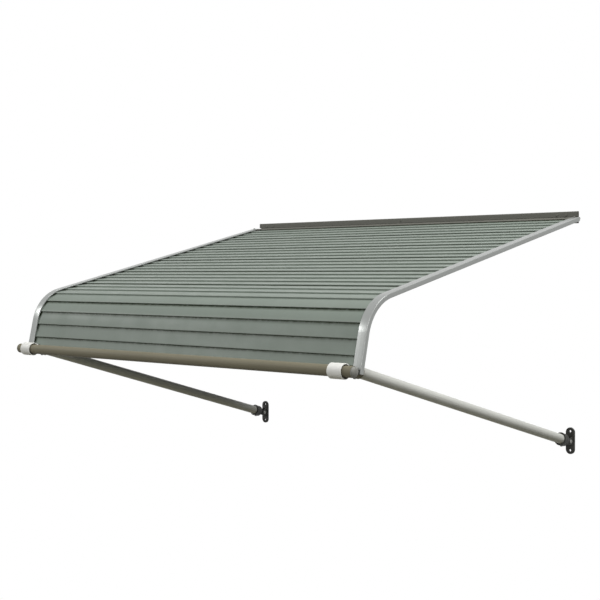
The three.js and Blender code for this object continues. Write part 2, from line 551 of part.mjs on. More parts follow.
// Arm: a collar that turns on the front bar, a tube with a ferrule and a socket on its ends.
// Inside the arm's group Y runs along the arm from the bar axis, and the tube's axis is ARM_RISE above it.
function addArm(side, name, bracketDrop) {
  const reachY = -PIVOT_OUT - BAR_Y;
  const fall = bracketDrop + BAR_Z;
  const span = Math.hypot(reachY, fall);
  const pivotAt = Math.sqrt(span ** 2 - ARM_RISE ** 2);
  const arm = new THREE.Group();
  arm.position.set(side * ARM_PLACE, BAR_Y, BAR_Z);
  arm.rotation.x = -(Math.atan2(fall, reachY) + Math.asin(ARM_RISE / span));
  canopy.add(arm);

  const tubeFrom = FERRULE_START + FERRULE_WALL + GAP;
  const socketFloor = pivotAt - SOCKET_GAP - SOCKET_FLOOR;
  const tubeTo = socketFloor - GAP;
  const socketMouth = socketFloor - SOCKET_DEPTH;
  const frontScrewAt = tubeFrom + SPIGOT_LENGTH / 2;
  const rearScrewAt = socketFloor - SOCKET_DEPTH / 2;
  const onAxis = (geometry) => geometry.translate(0, 0, ARM_RISE);
  const radialHole = (at, depth) =>
    onAxis(
      barY(SCREW_HOLE_RADIUS, 0, depth, 0, 0).rotateX(Math.PI / 2).translate(0, at, -SOCKET_RIM_RADIUS),
    );
  const radialScrew = (at, seat) =>
    onAxis(screw(seat - TUBE_BORE + SCREW_GRIP).rotateX(Math.PI / 2).translate(0, at, -seat));

  const half = COLLAR_LENGTH / 2;
  const recessRadius = TUBE_SEAT + COLLAR_RECESS_STEP;
  const alongBar = (geometry) => geometry.rotateZ(-Math.PI / 2).translate(-side * COLLAR_OFFSET, 0, 0);
  const sleeve = alongBar(
    turned([
      [0, -half],
      [COLLAR_RADIUS - EASE, -half],
      [COLLAR_RADIUS, EASE - half],
      [COLLAR_RADIUS, half - EASE],
      [COLLAR_RADIUS - EASE, half],
      [0, half],
    ]),
  );
  const bore = alongBar(
    turned([
      [0, -half - EASE],
      [recessRadius, -half - EASE],
      [recessRadius, COLLAR_RECESS - half],
      [TUBE_SEAT, COLLAR_RECESS - half],
      [TUBE_SEAT, half - COLLAR_RECESS],
      [recessRadius, half - COLLAR_RECESS],
      [recessRadius, half + EASE],
      [0, half + EASE],
    ]),
  );
  const spigotRadius = TUBE_BORE - GAP;
  const spigot = onAxis(
    turned([
      [0, 0],
      [NECK_RADIUS, 0],
      [NECK_RADIUS, tubeFrom],
      [spigotRadius, tubeFrom],
      [spigotRadius, tubeFrom + SPIGOT_LENGTH - EASE],
      [spigotRadius - EASE, tubeFrom + SPIGOT_LENGTH],
      [0, tubeFrom + SPIGOT_LENGTH],
    ]),
  );
  const wallDepth = SOCKET_RIM_RADIUS - TUBE_BORE + TUBE_WALL;
  const spigotHole = radialHole(frontScrewAt, wallDepth + SCREW_GRIP);
  addPiece(arm, `${name}_collar`, cut(join(sleeve, spigot), bore, spigotHole), "white_nylon");

  const ferruleTo = FERRULE_START + FERRULE_LENGTH;
  const ferrule = onAxis(
    turnedRing([
      [NECK_RADIUS + 2 * GAP, FERRULE_START],
      [FERRULE_RADIUS - EASE, FERRULE_START],
      [FERRULE_RADIUS, FERRULE_START + EASE],
      [FERRULE_RADIUS, ferruleTo - EASE],
      [FERRULE_RADIUS - EASE, ferruleTo],
      [TUBE_SEAT, ferruleTo],
      [TUBE_SEAT, FERRULE_START + FERRULE_WALL],
      [NECK_RADIUS + 2 * GAP, FERRULE_START + FERRULE_WALL],
    ]),
  );
  addPiece(arm, `${name}_front_ferrule`, cut(ferrule, radialHole(frontScrewAt, wallDepth)), "bar_paint");
  addPiece(arm, `${name}_ferrule_screw`, radialScrew(frontScrewAt, FERRULE_RADIUS + GAP), "zinc_steel");

  const tube = onAxis(
    turnedRing([
      [TUBE_BORE, tubeFrom],
      [TUBE_RADIUS, tubeFrom],
      [TUBE_RADIUS, tubeTo],
      [TUBE_BORE, tubeTo],
    ]),
  );
  const tubeHoles = [frontScrewAt, rearScrewAt].map((at) => radialHole(at, wallDepth));
  addPiece(arm, `${name}_arm_tube`, cut(tube, ...tubeHoles), "arm_paint");

  const cup = onAxis(
    turned([
      [0, socketFloor],
      [TUBE_SEAT, socketFloor],
      [TUBE_SEAT, socketMouth],
      [SOCKET_RIM_RADIUS - EASE, socketMouth],
      [SOCKET_RIM_RADIUS, socketMouth + EASE],
      [SOCKET_RIM_RADIUS, socketMouth + SOCKET_RIM_LENGTH],
      [SOCKET_RADIUS, socketMouth + SOCKET_RIM_LENGTH + SOCKET_RIM_TAPER],
      [SOCKET_RADIUS, socketFloor - SOCKET_SHOULDER],
      [KNUCKLE_RADIUS + EASE, socketFloor + SOCKET_FLOOR],
      [0, socketFloor + SOCKET_FLOOR],
    ]),
  );
  const tongueFrom = socketFloor + SOCKET_FLOOR / 2;
  const tongue = new THREE.Shape()
    .moveTo(tongueFrom, ARM_RISE - KNUCKLE_RADIUS)
    .lineTo(pivotAt, ARM_RISE - KNUCKLE_RADIUS)
    .absarc(pivotAt, ARM_RISE, KNUCKLE_RADIUS, -Math.PI / 2, Math.PI / 2)
    .lineTo(tongueFrom, ARM_RISE + KNUCKLE_RADIUS);
  const tongueSolid = prism(tongue, -TONGUE_WIDTH / 2, TONGUE_WIDTH / 2, SMALL_ROUND / 2);
  const pinHole = barX(PIN_RADIUS + GAP, -TONGUE_WIDTH, TONGUE_WIDTH, pivotAt, ARM_RISE);
  const socket = cut(join(cup, tongueSolid), pinHole, radialHole(rearScrewAt, wallDepth));
  addPiece(arm, `${name}_rear_socket`, socket, "black_casting");
  addPiece(arm, `${name}_socket_screw`, radialScrew(rearScrewAt, SOCKET_RADIUS + GAP), "zinc_steel");
}

// Wall bracket: a round-ended plate with two ears that hold the socket's tongue on a riveted pin
function addBracket(side, name, drop) {
  const bracket = new THREE.Group();
  bracket.position.set(side * ARM_PLACE, 0, -drop);
  canopy.add(bracket);

  const round = PLATE_WIDTH / 2;
  const straight = PLATE_HEIGHT / 2 - round;
  const outline = new THREE.Shape()
    .absarc(0, straight, round, 0, Math.PI)
    .absarc(0, -straight, round, Math.PI, 2 * Math.PI);
  for (const level of [-PLATE_HOLE_SPACING / 2, PLATE_HOLE_SPACING / 2]) {
    outline.holes.push(new THREE.Path().absarc(0, level, PLATE_HOLE_RADIUS, 0, 2 * Math.PI));
  }
  const options = { depth: PLATE_THICKNESS, bevelEnabled: false, curveSegments: SMALL_ROUND };
  const plate = new THREE.ExtrudeGeometry(outline, options).rotateX(Math.PI / 2);
  const earFrom = TONGUE_WIDTH / 2 + 2 * GAP;
  const earFoot = KNUCKLE_RADIUS + EAR_FLARE;
  const earOutline = new THREE.Shape()
    .moveTo(-PLATE_THICKNESS / 2, earFoot)
    .lineTo(-PLATE_THICKNESS - EAR_FOOT, earFoot)
    .lineTo(-PIVOT_OUT, KNUCKLE_RADIUS)
    .absarc(-PIVOT_OUT, 0, KNUCKLE_RADIUS, Math.PI / 2, (3 * Math.PI) / 2)
    .lineTo(-PLATE_THICKNESS - EAR_FOOT, -earFoot)
    .lineTo(-PLATE_THICKNESS / 2, -earFoot);
  const ears = [-1, 1].map((ear) =>
    prism(earOutline, ...alongX(ear, earFrom, earFrom + EAR_WIDTH), SMALL_ROUND / 2),
  );
  const pinHole = barX(PIN_RADIUS + GAP, -PLATE_WIDTH, PLATE_WIDTH, -PIVOT_OUT, 0);
  addPiece(bracket, `${name}_wall_bracket`, cut(join(plate, ...ears), pinHole), "black_casting");

  const headFrom = earFrom + EAR_WIDTH + GAP;
  const headRadius = PIN_RADIUS + PIN_HEAD_LIP;
  const upperHalf = [
    [PIN_RADIUS, headFrom],
    [headRadius, headFrom],
    [headRadius, headFrom + PIN_HEAD * HEAD_SIDE],
    [headRadius * HEAD_CROWN, headFrom + PIN_HEAD],
    [0, headFrom + PIN_HEAD],
  ];
  const lowerHalf = upperHalf.map(([radius, y]) => [radius, -y]).reverse();
  const pin = turned([...lowerHalf, ...upperHalf], SMALL_ROUND);
  pin.rotateZ(-Math.PI / 2).translate(0, -PIVOT_OUT, 0);
  addPiece(bracket, `${name}_pivot_pin`, pin, "zinc_steel");
}

addHeader();
addRearRail();
addPanels();
addFrontBar();
addFrameScrews();
for (const [side, name, drop] of [
  [-1, "left", LEFT_BRACKET_DROP],
  [1, "right", RIGHT_BRACKET_DROP],
]) {
  addRafter(side, name);
  addBarFittings(side, name);
  addArm(side, name, drop);
  addBracket(side, name, drop);
}

export default canopy;
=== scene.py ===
import math

import bmesh
import bpy
import numpy as np
from mathutils import Matrix, Vector


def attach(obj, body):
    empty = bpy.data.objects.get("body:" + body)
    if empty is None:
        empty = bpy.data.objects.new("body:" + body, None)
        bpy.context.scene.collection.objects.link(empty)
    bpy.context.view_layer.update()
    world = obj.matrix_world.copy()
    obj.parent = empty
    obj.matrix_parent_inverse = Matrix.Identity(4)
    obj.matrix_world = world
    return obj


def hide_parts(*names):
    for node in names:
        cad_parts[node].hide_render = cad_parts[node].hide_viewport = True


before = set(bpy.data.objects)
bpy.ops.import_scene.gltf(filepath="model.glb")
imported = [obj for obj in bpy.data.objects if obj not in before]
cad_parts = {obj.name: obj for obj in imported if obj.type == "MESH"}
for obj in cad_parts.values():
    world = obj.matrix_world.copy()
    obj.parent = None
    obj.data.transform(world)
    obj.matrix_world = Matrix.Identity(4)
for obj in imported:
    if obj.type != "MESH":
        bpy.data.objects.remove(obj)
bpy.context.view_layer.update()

# Sizes of the canopy, in millimetres, as its solids have them
MM = 0.001
GAP = 0.3
HALF_WIDTH = 609.6
RIB_PITCH = 36.0
RIBS_PER_PANEL = 4
ROOF_PANELS = 6
ROOF_SLOPE = math.radians(13.73)
BEND_ANGLE = math.radians(63.7)
BEND_RADIUS = 108.6
BEND_LEAD = 60.8
FIRST_RIB_OUT = 21.2
RIB_STEP = 3.6
SHEET = 0.7
PANEL_LAP = 9.0
PANEL_HOOK = 1.2
PANEL_HEM = 4.0
PANEL_END_CLEAR = 2.0
FRONT_TRIM = 5.0
CORNER_NOTCH = 10.0
RAFTER_WALL = 2.0
RAFTER_WIDTH = 23.6
RAFTER_ABOVE = 3.6
RAFTER_BELOW = 7.5
RAFTER_LIP_CLEAR = 0.4
RAFTER_LIP_FROM = 14.6
RAFTER_REAR = 1.5
RAFTER_FRONT = 3.0
HEADER_INSET = 15.6
HEADER_TOP = 19.5
HEADER_BOTTOM = -9.8
HEADER_DEPTH = 8.0
HEADER_WALL = 1.6
FASCIA_BOTTOM = 5.4
BEAD_RADIUS = 2.4
BEAD_TURN = 1.65 * math.pi
WALL_HOLES = 4
WALL_HOLE_INSET = 144.0
WALL_HOLE_LEVEL = -4.0
WALL_HOLE_RADIUS = 2.6
WEEP_RADIUS = 2.0
FASCIA_SCREW_INSETS = (77.6, 49.6)
FASCIA_SCREW_LEVEL = 10.0
FASCIA_SCREW_LENGTH = 4.2
RAIL_WALL = 1.4
RAIL_TOP = 14.0
RAIL_BOTTOM = -1.0
RAIL_WEB_CLEAR = 1.0
RAIL_WEB_REACH = 1.6
RAIL_LIP_BACK = 4.2
RAIL_LIP_RISE = 2.7
TAB_START = -8.0
TAB_LENGTH = 22.0
TAB_REACH = 5.0
TAB_SCREW_RUN = 7.4
TAB_SCREW_LENGTH = 4.6
TUBE_RADIUS = 12.7
TUBE_WALL = 1.2
TUBE_SEAT = 13.0
BAR_HALF = 608.6
BAR_STANDOFF = 25.0
BAR_DROP = 2.3
BOLT_RISE = 4.0
BOLT_RADIUS = 2.2
BOLT_HEAD_RADIUS = 4.0
BOLT_LENGTH = 15.5
SADDLE_HALF = 9.0
SADDLE_ABOVE = 8.0
SADDLE_BELOW = 3.0
CAP_RIM_RADIUS = 12.2
CAP_RIM = 2.0
CAP_DOME = 5.5
CAP_DOME_INSET = 1.0
CAP_PLUG = 7.0
ARM_PLACE = 573.0
ARM_RISE = 10.0
COLLAR_RADIUS = 17.35
COLLAR_LENGTH = 39.5
COLLAR_OFFSET = 6.2
COLLAR_RECESS = 5.0
COLLAR_RECESS_RADIUS = 15.4
NECK_RADIUS = 6.5
NECK_CLEAR = 0.6
FERRULE_START = 35.0
FERRULE_LENGTH = 24.0
FERRULE_RADIUS = 15.0
FERRULE_WALL = 2.0
SPIGOT_LENGTH = 20.0
SOCKET_RADIUS = 16.5
SOCKET_RIM_RADIUS = 17.4
SOCKET_DEPTH = 22.0
SOCKET_FLOOR = 4.0
SOCKET_GAP = 13.0
TONGUE_WIDTH = 10.0
KNUCKLE_RADIUS = 8.5
BRACKET_DROP = {"left": 600.5, "right": 589.5}
PIVOT_OUT = 17.0
PLATE_HEIGHT = 71.0
PLATE_WIDTH = 26.0
PLATE_THICKNESS = 5.5
PLATE_HOLE_RADIUS = 3.5
PLATE_HOLE_SPACING = 50.8
EAR_FROM = 5.6
EAR_WIDTH = 4.2
EAR_FOOT = 11.5
EAR_SHOULDER = 1.0
PIN_RADIUS = 3.0
PIN_HEAD_RADIUS = 5.2
PIN_HEAD = 2.4
PIN_HEAD_EDGE = 0.5
SCREW_RADIUS = 1.7
SCREW_HEAD_RADIUS = 3.6
SCREW_HEAD = 1.9
SCREW_PAST_BORE = 5.0

# Eased edges and folds, in millimetres
SHEET_FOLD = 1.15
HEADER_FOLD = 1.5
RAIL_EASE = 0.5
TUBE_EASE = 0.3
CAP_EASE = 0.4
PLUG_EASE = 0.9
COLLAR_EASE = 1.1
SADDLE_EASE = 1.0
TONGUE_EASE = 0.7
EAR_EASE = 0.6
PLATE_EASE = 1.3
PLATE_BACK_EASE = 0.4
HOLE_EASE = 0.4

# Reach of the cutting tools, in millimetres
NOTCH_PAST = 9.0
NOTCH_BELOW = 12.0
NOTCH_ABOVE = 9.0
NOTCH_SIDE = 5.0
LIP_CUT_SIDE = 1.0
BORE_PAST = 1.0
SINK_PAST = 2.0
WALL_DRILL = 3.0
WEEP_DRILL = 2.4
CRADLE_DRILL = 40.0
TONGUE_DRILL = 9.0
EAR_DRILL = 15.0

# Bow of the sheets, and reach of the rubbed places and of the painted shade, in millimetres
SHEET_BOW = 0.1
SHORT_WAVE = 49.0
LONG_WAVE = 83.0
SLOPE_WAVE = 40.0
BOW_FOLD_FADE = 9.0
BOW_END_FADE = 40.0
LIP_RUB = 2.2
LIP_LEVEL = -1.4
FOOT_FADE = 4.0
FOOT_LEVEL = -2.0
RAIL_SHADE = 10.0
TUCK = 8.0
UNDER_LIP = 1.0
RAFTER_RUB = 1.5
HEADER_RUB = 1.2
INSIDE_PAST_LIP = 0.5
INSIDE_SLACK = 0.1
UNDER_FROM = 0.5
UNDER_FALL = 0.7

# Phases of the bow in radians, then painted shade as shares or as multiples of the reaches above
PHASE_STEP = 1.7
FRONT_PHASE = 10.9
ROOF_STEP_SHADE = 0.5
BEND_STEP_SHADE = 0.25
FRONT_STEP_SHADE = 1.0
RAIL_SHADE_REACH = 2.4
FOOT_SHADE_REACH = 1.7
ROOF_TUCKS = 2.0
DROP_TUCKS = 1.0
VALLEY_SLOPE = 3.2
VALLEY_START = 1.3
UNDER_SLOPE = 0.6

# Fineness of the meshes: spacing in millimetres, then points or sides, then sharp edges in degrees
SHEET_SPACING = 5.0
HEADER_SPACING = 3.0
EDGE_POINTS = 6
RAFTER_EDGE_POINTS = 7
CROWN_POINTS = 9
DOME_POINTS = 16
BEAD_POINTS = 22
NOSE_POINTS = 24
PANEL_COLUMNS = 77
HEADER_COLUMNS = 41
RAIL_COLUMNS = 31
ROOF_RUNS = 30
BEND_RUNS = 64
DROP_RUNS = 12
TURNED_SIDES = 72
TUBE_SIDES = 96
NECK_SIDES = 64
SCREW_SIDES = 48
RIVET_SIDES = 40
PIN_HOLE_SIDES = 32
DRILL_SIDES = 28
CREASE = 38
SCREW_CREASE = 25

# Sizes worked out from those
SIDES = {"left": -1.0, "right": 1.0}
RAFTER_INSIDE = HALF_WIDTH - RAFTER_WIDTH
RAFTER_MIDDLE = HALF_WIDTH - RAFTER_WIDTH / 2
PANEL_END = HALF_WIDTH - RAFTER_WALL - PANEL_END_CLEAR
ROOF_LENGTH = ROOF_PANELS * RIBS_PER_PANEL * RIB_PITCH
BEND_START = ROOF_LENGTH - BEND_LEAD
BEND_END = BEND_START + BEND_RADIUS * BEND_ANGLE
LAST_RIB = ROOF_LENGTH + RIBS_PER_PANEL * RIB_PITCH
BAR_RUN = LAST_RIB + BAR_DROP
BOLT_RUN = BAR_RUN - BOLT_RISE
TUBE_BORE = TUBE_RADIUS - TUBE_WALL
PLUG_RADIUS = TUBE_BORE - GAP
ARM_TUBE_START = FERRULE_START + FERRULE_WALL + GAP


# Side view: a run is a distance along the rib lines from the first one, and out is square to them


def side_angle(run):
    """Angle below the horizontal at a developed run: the roof's slope, then growing by run over radius
    in the bend."""
    return ROOF_SLOPE + np.clip((np.asarray(run, float) - BEND_START) / BEND_RADIUS, 0.0, BEND_ANGLE)


def side_point(run, out):
    """Side view point (y, z): along the roof, round the bend's arc and down the drop, then out square to
    the line."""
    run, out = np.broadcast_arrays(np.asarray(run, float), np.asarray(out, float))
    angle = side_angle(run)
    straight = np.minimum(run, BEND_START)
    drop = np.maximum(run - BEND_END, 0.0)
    forward = (
        straight * math.cos(ROOF_SLOPE)
        + BEND_RADIUS * (np.sin(angle) - math.sin(ROOF_SLOPE))
        + drop * np.cos(angle)
        + out * np.sin(angle)
    )
    down = (
        straight * math.sin(ROOF_SLOPE)
        + BEND_RADIUS * (math.cos(ROOF_SLOPE) - np.cos(angle))
        + drop * np.sin(angle)
        - out * np.cos(angle)
    )
    return -FIRST_RIB_OUT - forward, -down


def side_block(from_run, to_run, low, high):
    """Four corners (y, z) of a block on the side view, between two runs and two distances out."""
    runs = [from_run, to_run, to_run, from_run]
    return np.stack(side_point(runs, [low, low, high, high]), axis=1)


BAR_Y, BAR_Z = (float(v) for v in side_point(BAR_RUN, BAR_STANDOFF))


# Frames: four by four matrices that take a piece's own millimetres to the canopy's

X_AXIS, Y_AXIS, Z_AXIS = (1, 0, 0), (0, 1, 0), (0, 0, 1)


def frame_along(origin, axis, up):
    """Matrix whose Y column is the axis, whose Z column is up made square to it, and whose X column is
    Y cross Z."""
    y = np.asarray(axis, float) / np.linalg.norm(axis)
    z = np.asarray(up, float) - np.dot(up, y) * y
    z /= np.linalg.norm(z)
    matrix = np.eye(4)
    matrix[:3] = np.stack([np.cross(y, z), y, z, np.asarray(origin, float)], axis=1)
    return matrix


def on_side(x, run, out):
    """Frame on the side view: Y points into the canopy, square to its line, and Z up along it."""
    angle = float(side_angle(run))
    y, z = side_point(run, out)
    inwards = (0, math.sin(angle), -math.cos(angle))
    up_the_line = (0, math.cos(angle), math.sin(angle))
    return frame_along((x, float(y), float(z)), inwards, up_the_line)


def along_bar(x, towards=1.0):
    """Frame on the bar's axis with Y along the width, to the right or to the left."""
    return frame_along((x, BAR_Y, BAR_Z), (towards, 0, 0), Z_AXIS)


def arm_frame(name):
    """Frame of an arm, its length to the pivot and its tip: the origin is on the bar's axis and Y runs
    along the arm, tipped so that the tube's axis meets the bracket's pivot."""
    reach, fall = -PIVOT_OUT - BAR_Y, BRACKET_DROP[name] + BAR_Z
    span = math.hypot(reach, fall)
    tip = math.atan2(fall, reach) + math.asin(ARM_RISE / span)
    origin = (SIDES[name] * ARM_PLACE, BAR_Y, BAR_Z)
    matrix = frame_along(origin, (0, math.cos(tip), -math.sin(tip)), (0, math.sin(tip), math.cos(tip)))
    return matrix, math.sqrt(span**2 - ARM_RISE**2), tip


def tube_frame(matrix):
    """Frame on the arm tube's axis, which stands ARM_RISE above the arm frame's."""
    return matrix @ frame_along((0, 0, ARM_RISE), Y_AXIS, Z_AXIS)


def placed(points, matrix):
    """Points of any grid, moved by a matrix: rotation times point, plus origin."""
    return np.asarray(points, float) @ matrix[:3, :3].T + matrix[:3, 3]


# Paths and sections


def rounded(corners, reach, steps=EDGE_POINTS):
    """Open path whose inner corners are eased: a parabola from reach before the corner c to reach after it,
    (1-t)^2 a + 2t(1-t) c + t^2 b, with reach held just under half of each leg."""
    corners = np.asarray(corners, float)
    at = corners[1:-1]
    back, ahead = corners[:-2] - at, corners[2:] - at
    back_length = np.linalg.norm(back, axis=1, keepdims=True)
    ahead_length = np.linalg.norm(ahead, axis=1, keepdims=True)
    most = 0.49 * np.minimum(back_length, ahead_length)
    cut = np.minimum(np.asarray(reach, float).reshape(-1, 1), most)
    a, b = at + back / back_length * cut, at + ahead / ahead_length * cut
    t = np.linspace(0.0, 1.0, steps)[None, :, None]
    arcs = (1 - t) ** 2 * a[:, None] + 2 * t * (1 - t) * at[:, None] + t**2 * b[:, None]
    return np.concatenate([corners[:1], arcs.reshape(-1, corners.shape[1]), corners[-1:]])


def rounded_loop(corners, reach, steps=5):
    """Closed outline with every corner eased by the same parabola as an open path."""
    corners = np.asarray(corners, float)
    path = rounded(np.concatenate([corners[-1:], corners, corners[:1]]), reach, steps)
    return path[1:-1]


def lengths(path):
    """Distance of each point from the first, summed along the path."""
    return np.concatenate([[0.0], np.cumsum(np.linalg.norm(np.diff(path, axis=0), axis=1))])


def refined(path, longest):
    """The same path with points added, so that no two stand much further apart than longest along it. An
    added point keeps at least 0.3 of longest from the old ones."""
    length = lengths(path)
    even = np.linspace(0.0, length[-1], int(length[-1] / longest) + 2)
    near = np.min(np.abs(even[:, None] - length[None, :]), axis=1)
    at = np.sort(np.concatenate([length, even[near > longest * 0.3]]))
    return np.stack([np.interp(at, length, path[:, k]) for k in range(path.shape[1])], axis=1)


def quarter(radius, rise, count):
    """Quarter of an ellipse from (radius, 0) to (0, rise): (radius cos t, rise sin t)."""
    t = np.linspace(0.0, math.pi / 2, count)
    return np.stack([radius * np.cos(t), rise * np.sin(t)], axis=1)


def arc(radius, start, end, count):
    """Part of a circle: radius (cos a, sin a) from the start angle to the end angle."""
    a = np.linspace(start, end, count)
    return radius * np.stack([np.cos(a), np.sin(a)], axis=1)


def sheet_lines(path, thickness):
    """The two faces of a sheet: each point moves half the thickness along (n1 + n2) / (1 + n1.n2), the
    mitre of its two legs' normals."""
    step = np.diff(path, axis=0)
    normal = np.stack([-step[:, 1], step[:, 0]], axis=1) / np.linalg.norm(step, axis=1, keepdims=True)
    before = np.concatenate([normal[:1], normal])
    after = np.concatenate([normal, normal[-1:]])
    mitre = (before + after) / (1.0 + np.sum(before * after, axis=1, keepdims=True))
    return path + mitre * thickness / 2, path - mitre * thickness / 2


def stacked(*parts):
    """Coordinates broadcast to one grid and put side by side as its last axis."""
    return np.stack(np.broadcast_arrays(*parts), axis=-1)


def carried(x, outline):
    """Grid of an outline of (y, z) points carried along X, with a row for each x."""
    return stacked(x[:, None], outline[:, 0], outline[:, 1])


def grid_faces(rows, columns, close_rows=False, close_columns=False):
    """Quads of a grid of points, row by row; a closed direction joins its last line to its first."""
    r = np.arange(rows if close_rows else rows - 1)[:, None]
    c = np.arange(columns if close_columns else columns - 1)[None, :]
    r2, c2 = (r + 1) % rows, (c + 1) % columns
    quads = stacked(r * columns + c, r * columns + c2, r2 * columns + c2, r2 * columns + c)
    return quads.reshape(-1, 4).tolist()


def sheet_faces(rows, count):
    """Quads of a sheet section carried along rows: the loop of its two faces, and a strip of quads across
    each end."""
    i = np.arange(count - 1)
    cap = np.stack([i, i + 1, 2 * count - 2 - i, 2 * count - 1 - i], axis=1)
    ends = np.concatenate([cap[:, ::-1], cap + (rows - 1) * 2 * count])
    return grid_faces(rows, 2 * count, close_columns=True) + ends.tolist()


def outline_faces(rows, count):
    """Quads of a closed outline carried along rows, with a flat face over each end."""
    ends = [list(range(count))[::-1], list(range((rows - 1) * count, rows * count))]
    return grid_faces(rows, count, close_columns=True) + ends


def turned_grid(profile, sides):
    """Surface of revolution about Y: a profile point (radius, y) at angle a goes to
    (radius sin a, y, radius cos a)."""
    radius, along = np.asarray(profile, float).T
    angle = np.linspace(0.0, 2 * math.pi, sides, endpoint=False)[:, None]
    return stacked(radius * np.sin(angle), along, radius * np.cos(angle))


# Meshes: the two lengths here are in metres

MERGE_DISTANCE = 2e-6
SLIVER_LENGTH = 1e-7


def settle(mesh, crease):
    """Merges doubled points, turns the faces outwards and marks edges sharper than crease degrees."""
    work = bmesh.new()
    work.from_mesh(mesh)
    bmesh.ops.remove_doubles(work, verts=work.verts, dist=MERGE_DISTANCE)
    bmesh.ops.dissolve_degenerate(work, edges=work.edges, dist=SLIVER_LENGTH)
    bmesh.ops.recalc_face_normals(work, faces=work.faces)
    work.to_mesh(mesh)
    work.free()
    mesh.polygons.foreach_set("use_smooth", np.ones(len(mesh.polygons), bool))
    mesh.set_sharp_from_angle(angle=math.radians(crease))
    mesh.update()


def shell(name, points, faces, uv=None, marks=None, crease=CREASE):
    """Object from a grid of points in millimetres, its faces, a UV pair per point and named values per
    point."""
    points = np.asarray(points, float).reshape(-1, 3) * MM
    mesh = bpy.data.meshes.new(name)
    mesh.from_pydata(points.tolist(), [], faces)
    if uv is not None:
        corner = np.zeros(len(mesh.loops), np.int32)
        mesh.loops.foreach_get("vertex_index", corner)
        layer = mesh.uv_layers.new(name="UVMap")
        layer.data.foreach_set("uv", np.asarray(uv, np.float32).reshape(-1, 2)[corner].ravel())
    for mark, values in (marks or {}).items():
        layer = mesh.attributes.new(mark, "FLOAT", "POINT")
        layer.data.foreach_set("value", np.asarray(values, np.float32).ravel())
    settle(mesh, crease)
    made = bpy.data.objects.new(name, mesh)
    bpy.context.scene.collection.objects.link(made)
    return made


def turned(name, profile, matrix, sides=TURNED_SIDES, ring=False):
    """Turned piece: the profile starts and ends on the axis, or closes on itself for a ring."""
    grid = turned_grid(profile, sides)
    return shell(name, placed(grid, matrix), grid_faces(sides, grid.shape[1], True, ring))


def drill(radius, reach, matrix, sides):
    """Cylinder about Y that reaches as far each way, to cut a hole with."""
    return turned("drill", [(0.0, -reach), (radius, -reach), (radius, reach), (0.0, reach)], matrix, sides)


def prism(name, outline, one_end, other_end, matrix=np.eye(4)):
    """Outline of (y, z) points carried along X from one end to the other, with flat ends."""
    outline = np.asarray(outline, float)
    grid = carried(np.sort(np.array([one_end, other_end], float)), outline)
    return shell(name, placed(grid, matrix), outline_faces(2, len(outline)))


def baked(target):
    """Replaces an object's mesh by what its modifiers make of it."""
    depsgraph = bpy.context.evaluated_depsgraph_get()
    made = bpy.data.meshes.new_from_object(target.evaluated_get(depsgraph))
    target.modifiers.clear()
    target.data = made
    settle(made, CREASE)
    return target


def eased(target, width, segments=3, angle=30):
    """Bevels the edges of a shape that are sharper than the angle."""
    bevel = target.modifiers.new("ease", "BEVEL")
    bevel.width = width * MM
    bevel.segments = segments
    bevel.limit_method = "ANGLE"
    bevel.angle_limit = math.radians(angle)
    return baked(target)


def worked(target, operation, *tools):
    """Joins or cuts a closed shape with others, which are used up."""
    for tool in tools:
        step = target.modifiers.new(operation.lower(), "BOOLEAN")
        step.operation = operation
        step.solver = "EXACT"
        step.object = tool
    baked(target)
    for tool in tools:
        bpy.data.objects.remove(tool)
    return target


def fit(piece, body, slot, *nodes):
    """Puts a finished piece on its body in place of its solids, with its slot's finish."""
    piece.data.materials.clear()
    piece.data.materials.append(FINISHES[slot])
    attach(piece, body)
    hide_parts(*nodes)


# Finishes: shared effects as node groups, then one material for each finish of the part

NOUGHT = (0.0, 0.0, 0.0)
ONES = (1.0, 1.0, 1.0)
CLOUD_SHADE = 0.82
RUB_LIFT = 1.25


def give(tree, socket, value):
    """Sets a socket to a value, or links it from another socket."""
    if isinstance(value, bpy.types.NodeSocket):
        tree.links.new(value, socket)
    else:
        socket.default_value = value


def node(tree, kind, values=None, **settings):
    """New node with its settings, and its inputs set to values or linked from sockets."""
    made = tree.nodes.new(kind)
    for key, value in settings.items():
        setattr(made, key, value)
    for key, value in (values or {}).items():
        give(tree, made.inputs[key], value)
    return made


def calculated(tree, operation, first, second, kind="ShaderNodeMath", **settings):
    """Node that works out one value or vector from two."""
    return node(tree, kind, {0: first, 1: second}, operation=operation, **settings).outputs


def noise(tree, vector, scale, detail, roughness):
    """Value of a noise texture at a vector."""
    values = {"Vector": vector, "Scale": scale, "Detail": detail, "Roughness": roughness}
    return node(tree, "ShaderNodeTexNoise", values).outputs[0]


def spread(tree, value, given, wanted):
    """Value carried in proportion from one range to another, and held within it."""
    ends = {"From Min": given[0], "From Max": given[1], "To Min": wanted[0], "To Max": wanted[1]}
    return node(tree, "ShaderNodeMapRange", {"Value": value, **ends}).outputs[0]


def new_effect(name, output, **inputs):
    """Empty node group with one value output and named inputs, whose defaults are a number for a value or
    three numbers for a vector."""
    tree = bpy.data.node_groups.new(name, "ShaderNodeTree")
    for label, default in inputs.items():
        kind = "NodeSocketVector" if isinstance(default, tuple) else "NodeSocketFloat"
        tree.interface.new_socket(label, in_out="INPUT", socket_type=kind).default_value = default
    tree.interface.new_socket(output, in_out="OUTPUT", socket_type="NodeSocketFloat")
    return tree, tree.nodes.new("NodeGroupInput").outputs, tree.nodes.new("NodeGroupOutput").inputs


def blotch_effect():
    """Cloudy value between Low and High: a few octaves of noise, stretched over the range."""
    tree, given, out = new_effect("blotch", "Value", Vector=NOUGHT, Scale=5.0, Low=0.0, High=1.0)
    cloud = noise(tree, given["Vector"], given["Scale"], detail=4.0, roughness=0.6)
    tree.links.new(spread(tree, cloud, (0.32, 0.68), (given["Low"], given["High"])), out["Value"])
    return tree


